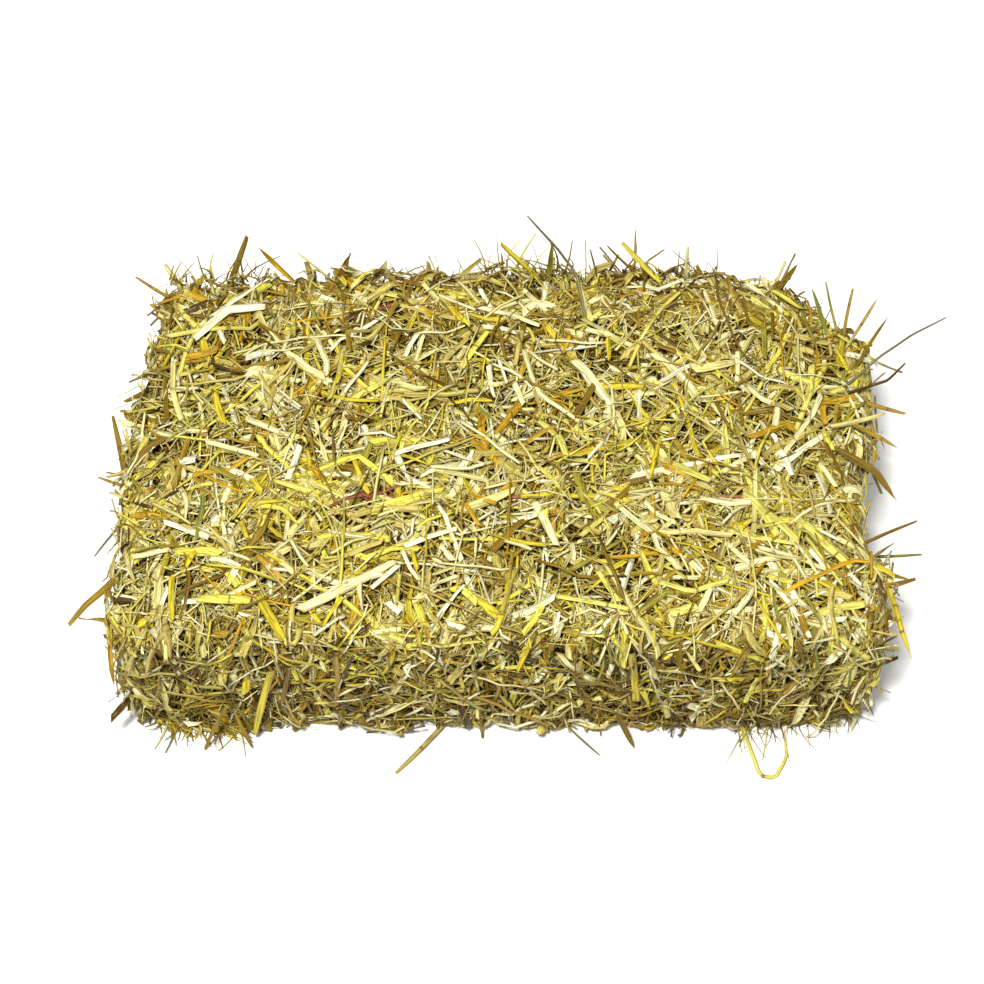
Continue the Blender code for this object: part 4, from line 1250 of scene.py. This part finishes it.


# The straws that lie on top and stand against the front where they catch the eye: mostly whole
# split stems. Each rests on the straw below it and is held only by its weight and by its ends.

# Each straw as picked in the photograph: its colour, its width and its points, in pixels
TOP_STRAWS = (
    ("orange", 7, (160, 292), (190, 288), (215, 298)), ("pale", 3, (158, 300), (172, 310), (182, 325)),
    ("yellow", 4, (186, 318), (172, 345), (160, 362)), ("orange", 7, (180, 357), (217, 347)),
    ("tan", 4, (160, 363), (205, 356)), ("pale", 6, (172, 358), (172, 390), (181, 417)),
    ("brown", 6, (163, 372), (166, 417)), ("cream", 3, (187, 365), (193, 388), (203, 401)),
    ("straw", 3, (182, 381), (240, 376), (280, 357)), ("bleached", 5, (217, 325), (225, 341)),
    ("bleached", 7, (245, 354), (275, 350)),
    ("cream", 3, (232, 351), (287, 337), (340, 334), (372, 338)),
    ("cream", 7, (317, 337), (327, 360), (325, 383)), ("buff", 3, (290, 372), (293, 358), (311, 346)),
    ("pale", 5, (254, 298), (264, 322), (279, 339)), ("cream", 3, (255, 278), (250, 300)),
    ("bleached", 4, (344, 391), (368, 361)), ("straw", 5, (328, 398), (338, 375), (342, 352)),
    ("olive", 4, (308, 300), (320, 325)), ("straw", 6, (398, 301), (430, 311), (466, 318)),
    ("pale", 6, (423, 281), (440, 300), (464, 319)), ("yellow", 7, (450, 305), (470, 327)),
    ("cream", 4, (438, 293), (476, 308)), ("pale", 4, (457, 278), (480, 302)),
    ("bleached", 5, (480, 288), (491, 305)), ("cream", 6, (477, 304), (515, 313), (540, 323)),
    ("bleached", 6, (404, 356), (409, 344), (418, 332)),
    ("cream", 3, (417, 333), (445, 331), (472, 324)), ("bright", 7, (461, 366), (474, 348), (487, 331)),
    ("buff", 6, (443, 361), (468, 337)), ("dull", 4, (498, 328), (506, 358)),
    ("straw", 5, (522, 330), (515, 366)),
    ("cream", 5, (524, 350), (534, 380), (542, 396), (562, 408), (580, 421)),
    ("cream", 4, (529, 351), (558, 370)), ("bleached", 4, (499, 358), (507, 382)),
    ("pale", 5, (579, 278), (583, 298), (592, 316), (618, 314)), ("pale", 5, (583, 317), (622, 341)),
    ("yellow", 6, (608, 338), (610, 359)), ("cream", 3, (545, 338), (604, 343)),
    ("bleached", 5, (580, 367), (592, 388)), ("orange", 7, (555, 396), (582, 387)),
    ("straw", 5, (393, 394), (440, 395), (478, 391)), ("yellow", 5, (448, 402), (492, 399)),
    ("cream", 6, (514, 383), (524, 402)), ("pale", 5, (389, 383), (380, 417)),
    ("bleached", 4, (403, 400), (422, 421)), ("buff", 4, (580, 384), (602, 414)),
    ("lemon", 5, (681, 289), (660, 308), (644, 333), (629, 366)),
    ("pale", 6, (684, 321), (697, 343), (707, 356)), ("bleached", 6, (706, 355), (682, 368), (660, 380)),
    ("buff", 7, (724, 279), (743, 309)), ("cream", 5, (700, 280), (711, 300), (718, 322)),
    ("cream", 5, (738, 348), (738, 380)), ("bleached", 3, (735, 355), (763, 374), (790, 381)),
    ("olive", 6, (764, 320), (766, 356)), ("cream", 3, (798, 302), (788, 330)),
    ("bright", 5, (788, 330), (779, 350), (766, 366)), ("lemon", 7, (813, 360), (812, 385), (797, 425)),
    ("cream", 8, (747, 381), (765, 397), (779, 404), (776, 424)), ("cream", 3, (700, 395), (741, 391)),
    ("cream", 5, (712, 400), (730, 422)), ("straw", 3, (640, 379), (680, 391), (694, 412)),
    ("buff", 4, (646, 384), (668, 402)), ("bleached", 4, (843, 374), (868, 397)),
    ("orange", 8, (824, 396), (857, 391)), ("yellow", 5, (838, 342), (852, 368)),
    ("cream", 6, (245, 416), (262, 424), (281, 431)), ("tan", 4, (223, 433), (262, 445)),
    ("cream", 5, (205, 440), (235, 447), (258, 455)), ("bleached", 9, (178, 458), (195, 453)),
    ("orange", 6, (192, 472), (225, 467), (248, 456)), ("bleached", 7, (226, 464), (252, 477)),
    ("yellow", 7, (252, 476), (262, 490)), ("bleached", 6, (300, 445), (294, 462), (287, 478)),
    ("lemon", 4, (268, 485), (283, 497), (300, 505)), ("cream", 6, (230, 482), (222, 500)),
    ("orange", 8, (310, 463), (325, 478)), ("bleached", 3, (340, 495), (355, 488)),
    ("bleached", 6, (162, 517), (185, 525), (208, 535)), ("pale", 4, (150, 498), (175, 510), (190, 520)),
    ("yellow", 6, (240, 520), (247, 538)), ("bleached", 4, (332, 532), (365, 536)),
    ("cream", 4, (218, 545), (250, 558)), ("cream", 4, (290, 538), (300, 555), (308, 566)),
    ("pale", 4, (330, 553), (352, 540), (375, 535)), ("yellow", 7, (195, 547), (180, 570)),
    ("cream", 5, (130, 552), (170, 547)), ("yellow", 5, (352, 455), (362, 480), (369, 490)),
    ("bleached", 7, (395, 453), (425, 445), (450, 438)),
    ("straw", 3, (378, 474), (420, 457), (482, 435)), ("cream", 4, (460, 422), (482, 435), (520, 464)),
    ("cream", 4, (430, 466), (470, 468), (492, 460)), ("bleached", 5, (405, 474), (430, 487)),
    ("bleached", 2, (520, 509), (556, 500)), ("orange", 5, (502, 485), (517, 478)),
    ("pale", 4, (378, 517), (410, 505), (440, 500)), ("bright", 6, (546, 508), (545, 525), (562, 537)),
    ("lemon", 5, (580, 535), (603, 518)), ("cream", 4, (573, 515), (592, 517)),
    ("yellow", 4, (592, 465), (593, 482)), ("pale", 3, (517, 438), (540, 470)),
    ("lemon", 7, (541, 421), (560, 437), (567, 456)), ("bleached", 4, (588, 457), (603, 443)),
    ("bleached", 5, (404, 546), (430, 537), (457, 528)), ("cream", 4, (505, 539), (532, 549)),
    ("bleached", 4, (543, 535), (548, 562)), ("orange", 5, (465, 502), (480, 525)),
    ("yellow", 5, (411, 546), (418, 569)), ("cream", 6, (440, 545), (453, 559)),
    ("lemon", 4, (719, 424), (703, 440), (722, 472)), ("orange", 5, (705, 443), (717, 462)),
    ("bleached", 8, (781, 447), (795, 471)), ("bright", 4, (772, 424), (760, 447), (755, 468)),
    ("cream", 5, (822, 461), (838, 482)), ("orange", 9, (663, 464), (695, 473)),
    ("cream", 6, (700, 496), (730, 502), (752, 500)), ("lemon", 9, (744, 489), (770, 511), (800, 537)),
    ("cream", 4, (790, 520), (806, 506), (825, 498), (858, 493)),
    ("lemon", 7, (721, 527), (755, 533), (796, 540)), ("lemon", 9, (806, 518), (830, 543), (853, 563)),
    ("pale", 7, (838, 532), (865, 545), (886, 572)), ("bleached", 3, (640, 520), (661, 538)),
    ("cream", 5, (645, 499), (655, 512), (676, 521)), ("cream", 5, (725, 541), (751, 561)),
    ("yellow", 3, (676, 540), (713, 549)), ("bleached", 4, (238, 612), (262, 619)),
    ("yellow", 5, (322, 625), (341, 599)), ("bleached", 4, (312, 637), (345, 615)),
    ("yellow", 6, (171, 572), (170, 600), (171, 618)), ("bright", 6, (227, 571), (237, 585)),
    ("cream", 5, (224, 594), (256, 580)), ("buff", 8, (155, 617), (160, 601)),
    ("bleached", 6, (181, 600), (206, 599)),
    ("yellow", 6, (512, 571), (506, 600), (498, 624), (491, 640)), ("bright", 9, (463, 590), (477, 602)),
    ("yellow", 9, (479, 598), (499, 617)), ("bright", 6, (543, 604), (535, 620), (523, 639)),
    ("lemon", 5, (556, 596), (590, 601), (629, 608)), ("cream", 5, (371, 637), (401, 626)),
    ("lemon", 4, (370, 627), (410, 638), (436, 640)), ("lemon", 5, (598, 571), (620, 601)),
    ("bleached", 5, (555, 640), (558, 611)), ("bleached", 6, (388, 604), (400, 613)),
    ("orange", 5, (404, 616), (419, 636)), ("lemon", 5, (397, 603), (400, 574)),
    ("bleached", 6, (371, 590), (398, 567)), ("cream", 4, (620, 618), (629, 645)),
    ("lemon", 6, (660, 581), (693, 590), (729, 579)), ("lemon", 9, (669, 612), (697, 606)),
    ("bleached", 5, (774, 578), (791, 601), (812, 633)),
    ("lemon", 8, (818, 610), (840, 603), (866, 600)), ("bleached", 5, (803, 613), (820, 603)),
    ("yellow", 6, (821, 577), (852, 597)), ("pale", 4, (854, 603), (870, 629)),
    ("bleached", 6, (768, 627), (779, 638), (793, 641)),
    ("yellow", 4, (664, 665), (690, 645), (718, 617)),
    ("straw", 2, (701, 506), (733, 521), (763, 535)), ("cream", 4, (799, 541), (812, 558), (820, 573)),
    ("lemon", 4, (804, 543), (816, 563), (819, 593)),
    ("bleached", 5, (811, 545), (822, 556), (832, 571)),
    ("lemon", 4, (807, 533), (826, 556), (836, 573), (844, 583)), ("cream", 4, (789, 546), (807, 576)),
    ("pale", 4, (806, 510), (836, 510), (856, 530), (872, 545)), ("bleached", 4, (822, 526), (842, 536)),
    ("lemon", 5, (769, 571), (794, 579)), ("tan", 4, (832, 560), (846, 576), (847, 583)),
    ("straw", 3, (793, 523), (809, 528), (821, 540)), ("bleached", 5, (852, 568), (864, 579)),
    ("buff", 3, (844, 528), (856, 540), (870, 563)), ("olive", 3, (806, 525), (821, 543), (831, 563)),
    ("brown", 3, (703, 287), (702, 310)), ("buff", 5, (712, 272), (720, 287), (722, 313)),
    ("tan", 5, (725, 275), (737, 293), (740, 313)), ("brown", 4, (743, 293), (750, 320)),
    ("dull", 4, (783, 290), (773, 307)), ("tan", 4, (800, 302), (795, 327), (787, 360)),
    ("olive", 4, (803, 300), (807, 317), (817, 337)), ("buff", 4, (827, 318), (830, 330), (833, 350)),
    ("tan", 3, (853, 340), (860, 352)), ("olive", 4, (833, 430), (853, 407), (868, 395)),
    ("dull", 4, (717, 400), (727, 423), (740, 437)), ("yellow", 5, (660, 437), (650, 477)),
    ("tan", 6, (670, 430), (687, 457)), ("brown", 6, (827, 437), (840, 463), (847, 483)),
    ("tan", 5, (840, 390), (837, 417)), ("dull", 4, (790, 310), (780, 347)),
    ("brown", 4, (773, 310), (773, 337)), ("olive", 4, (840, 377), (858, 355)),
)
FRONT_STRAWS = (
    ("tan", 6, (335, 655), (338, 680), (336, 706)), ("buff", 2, (207, 680), (236, 660)),
    ("buff", 4, (225, 698), (241, 678)), ("buff", 4, (240, 665), (251, 690)),
    ("pale", 4, (124, 660), (134, 681)), ("lemon", 4, (416, 645), (440, 652), (481, 648)),
    ("orange", 6, (439, 661), (466, 668)), ("bleached", 4, (479, 657), (493, 640)),
    ("cream", 5, (378, 718), (400, 708), (426, 702)), ("buff", 4, (440, 683), (465, 700), (486, 714)),
    ("pale", 4, (472, 667), (478, 696)), ("buff", 3, (575, 680), (613, 690)),
    ("bleached", 5, (612, 664), (608, 679)), ("pale", 3, (520, 685), (546, 707)),
    ("bright", 6, (717, 643), (737, 655), (769, 664)), ("orange", 6, (768, 640), (770, 677)),
    ("buff", 3, (765, 703), (790, 707), (815, 690), (833, 667)), ("lemon", 6, (759, 681), (746, 704)),
    ("buff", 5, (831, 616), (820, 651)), ("bright", 6, (840, 628), (832, 661)),
    ("lemon", 6, (844, 644), (871, 666)), ("pale", 3, (655, 669), (700, 675), (726, 679)),
    ("bleached", 3, (634, 643), (650, 668), (661, 686)), ("yellow", 8, (632, 656), (637, 700)),
    ("straw", 7, (664, 702), (668, 719)), ("orange", 5, (784, 698), (801, 682)),
    ("cream", 3, (709, 700), (726, 709)), ("tan", 5, (190, 713), (228, 699)),
    ("brown", 5, (290, 672), (282, 704)), ("tan", 4, (500, 690), (492, 716)),
    ("buff", 3, (690, 690), (712, 672)),
)
# The photograph's side in pixels, its camera's sensor in mm, and a pixel's mean width on the bale
PICTURE_SIZE = 984
CAMERA_SENSOR = 36
PIXEL_WIDTH = 0.00066
TOP_LEVEL = 0.149
FRONT_LEVEL = -0.149
LAID_LIMIT = 0.141
LAID_STATIONS = 9
LAID_LIFT = 0.0024
LAID_WIDTH_LIFT = 0.12
LAID_BEND = 0.22
LAID_ROUNDS = 3
# Shares of each point's own way out and of their mean, in the way that a straw's broad side faces
LAID_OWN_FACING, LAID_MEAN_FACING = 0.4, 0.6
LAID_ROLL = 0.18
LAID_TWIST = 0.3
LAID_TAPER = 0.25
LAID_CUT = 1.0
SPLIT_FROM = 0.003
SPLIT_FLATNESS = 0.32
ROUND_FLATNESS = 0.85
LAID_SEED = 2900


def seen_at(pixels, axis, level):
    """The points of the plane axis = level that the camera sees at pixels of the photograph.

    Ray = the camera's look + right * across + up * (-down), with across and down from the middle of
    the picture, over the lens in pixels.
    """
    elevation = math.radians(CAMERA_ELEVATION)
    look = np.array((0, math.cos(elevation), -math.sin(elevation)))
    up = np.array((0, math.sin(elevation), math.cos(elevation)))
    lens = CAMERA_LENS / CAMERA_SENSOR * PICTURE_SIZE
    across, down = (np.array(pixels) - PICTURE_SIZE / 2).T[..., None] / lens
    rays = look + np.array((1.0, 0.0, 0.0)) * across - up * down
    return CAMERA_PLACE + rays * ((level - CAMERA_PLACE[axis]) / rays[:, axis])[:, None]


def laid_arrays(chance, colour, width, pixels, upright):
    """One straw laid onto the bale: it rests at LAID_LIFT and follows LAID_BEND of the waves."""
    width = width * PIXEL_WIDTH
    if upright:
        points = seen_at(pixels, 1, FRONT_LEVEL)
        points[:, 2] = np.minimum(points[:, 2], LAID_LIMIT)
    else:
        points = seen_at(pixels, 2, TOP_LEVEL)
        points[:, 1] = np.maximum(points[:, 1], -LAID_LIMIT)
    path = even_points(points, LAID_STATIONS)
    lift = LAID_LIFT + width * LAID_WIDTH_LIFT
    way_out = np.array((0.0, -1.0, 0.0) if upright else (0.0, 0.0, 1.0))
    for _ in range(LAID_ROUNDS):
        away = lift - height_over_straw(path)
        path = path + way_out * (LAID_BEND * away + (1 - LAID_BEND) * away.mean())[:, None]
    s = np.linspace(-0.5, 0.5, LAID_STATIONS)
    ups = outward(path)
    ups = unit(LAID_OWN_FACING * ups + LAID_MEAN_FACING * ups.mean(axis=0))
    side = unit(np.cross(unit(np.gradient(path, axis=0)), ups))
    roll = chance.normal(0, LAID_ROLL) + chance.normal(0, LAID_TWIST) * s
    ups = ups * np.cos(roll)[:, None] + side * np.sin(roll)[:, None]
    outline = "split" if width >= SPLIT_FROM else "stem"
    flatness = SPLIT_FLATNESS if outline == "split" else ROUND_FLATNESS
    widths = width * (1 - LAID_TAPER * chance.random() * (s + 0.5) ** 3)
    cells = cells_of_rows(chance, np.array([COLOUR_ROWS[colour]]))
    slants = chance.uniform(-LAID_CUT, LAID_CUT, (1, 2))
    return straw_arrays(path[None], ups[None], widths[None], flatness * widths[None], outline,
                        cells, slants)


chance = np.random.default_rng(LAID_SEED)
for name, straws, upright in (("top_laid_straw", TOP_STRAWS, False),
                              ("front_laid_straw", FRONT_STRAWS, True)):
    laid = mesh_piece(name, loose_straw, *join_arrays([
        laid_arrays(chance, colour, width, pixels, upright) for colour, width, *pixels in straws]))
    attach(laid, "root")


# The wisps: fine broken leaves on the floor at the front right corner, a clump of short straw at
# the left of the front foot, and short tufts along the back edge. Each still hangs on the bale by
# one end.

# Start and end of each line, the number of wisps, the way they point, their length and width, in mm
WISP_LINES = (
    ((200, -130, 4), (256, -124, 6), 56, (0.3, -0.8, 0.0), (7, 17), (0.6, 1.3)),
    ((162, -140, 3), (226, -136, 3), 60, (0.1, -1.0, 0.0), (7, 20), (0.6, 1.3)),
    ((-240, -139, 3), (-176, -143, 4), 180, (0.8, -0.3, 0.0), (6, 14), (1.0, 2.4)),
    ((-232, 132, 143), (-160, 136, 145), 44, (0.0, 0.25, 1.0), (6, 17), (0.8, 2.0)),
    ((-12, 138, 147), (52, 138, 147), 46, (0.0, 0.2, 1.0), (8, 22), (0.8, 2.4)),
    ((100, 138, 145), (158, 136, 145), 34, (0.1, 0.25, 1.0), (6, 15), (0.8, 2.0)),
)
WISP_STATIONS = 6
WISP_SCATTER = 0.002
WISP_TURN = 0.45
WISP_TURN_WAYS = (1, 1, 0.3)
WISP_BEND = 0.7
WISP_BEND_LIMIT = 1.2
WISP_BEND_WAYS = (1, 0.8, 0.25)
WISP_FACING = (0.02, -0.25, 1.0)
WISP_TAPER = 0.6
WISP_FLATNESS = 0.7
WISP_CUT = 1
WISP_SEED = 2950
WISP_COLOURS = {"tan": 18, "brown": 14, "olive": 12, "dull": 14, "buff": 14, "yellow": 12, "pale": 12,
                "green": 4}


def wisp_arrays(chance, start, end, count, way, lengths, widths):
    """Thin curved stems from a line: path = root + length * (s * way + s^2 * bend)."""
    root = np.array(start) + chance.random((count, 1)) * np.subtract(end, start)
    root = root / MILLIMETRES + chance.normal(0, WISP_SCATTER, (count, 3))
    way = unit(np.array(way) + chance.normal(0, WISP_TURN, (count, 3)) * WISP_TURN_WAYS)
    bend = np.clip(chance.normal(0, WISP_BEND, (count, 3)), -WISP_BEND_LIMIT, WISP_BEND_LIMIT)
    bend = bend * WISP_BEND_WAYS
    length = chance.uniform(*lengths, count)[:, None, None] / MILLIMETRES
    s = np.linspace(0, 1, WISP_STATIONS)[None, :, None]
    paths = root[:, None, :] + length * (s * way[:, None, :] + s * s * bend[:, None, :])
    paths[..., 2] = np.maximum(paths[..., 2], PATH_LOWEST)
    ups = np.broadcast_to(WISP_FACING, paths.shape)
    widths = chance.uniform(*widths, count)[:, None] / MILLIMETRES * (1 - WISP_TAPER * s[..., 0])
    cells = cells_of_rows(chance, picked_rows(chance, count, WISP_COLOURS))
    slants = chance.uniform(-WISP_CUT, WISP_CUT, (count, 2))
    return straw_arrays(paths, ups, widths, WISP_FLATNESS * widths, "stem", cells, slants)


chance = np.random.default_rng(WISP_SEED)
wisps = mesh_piece("wisps", loose_straw, *join_arrays([
    wisp_arrays(chance, *line) for line in WISP_LINES]))
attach(wisps, "root")
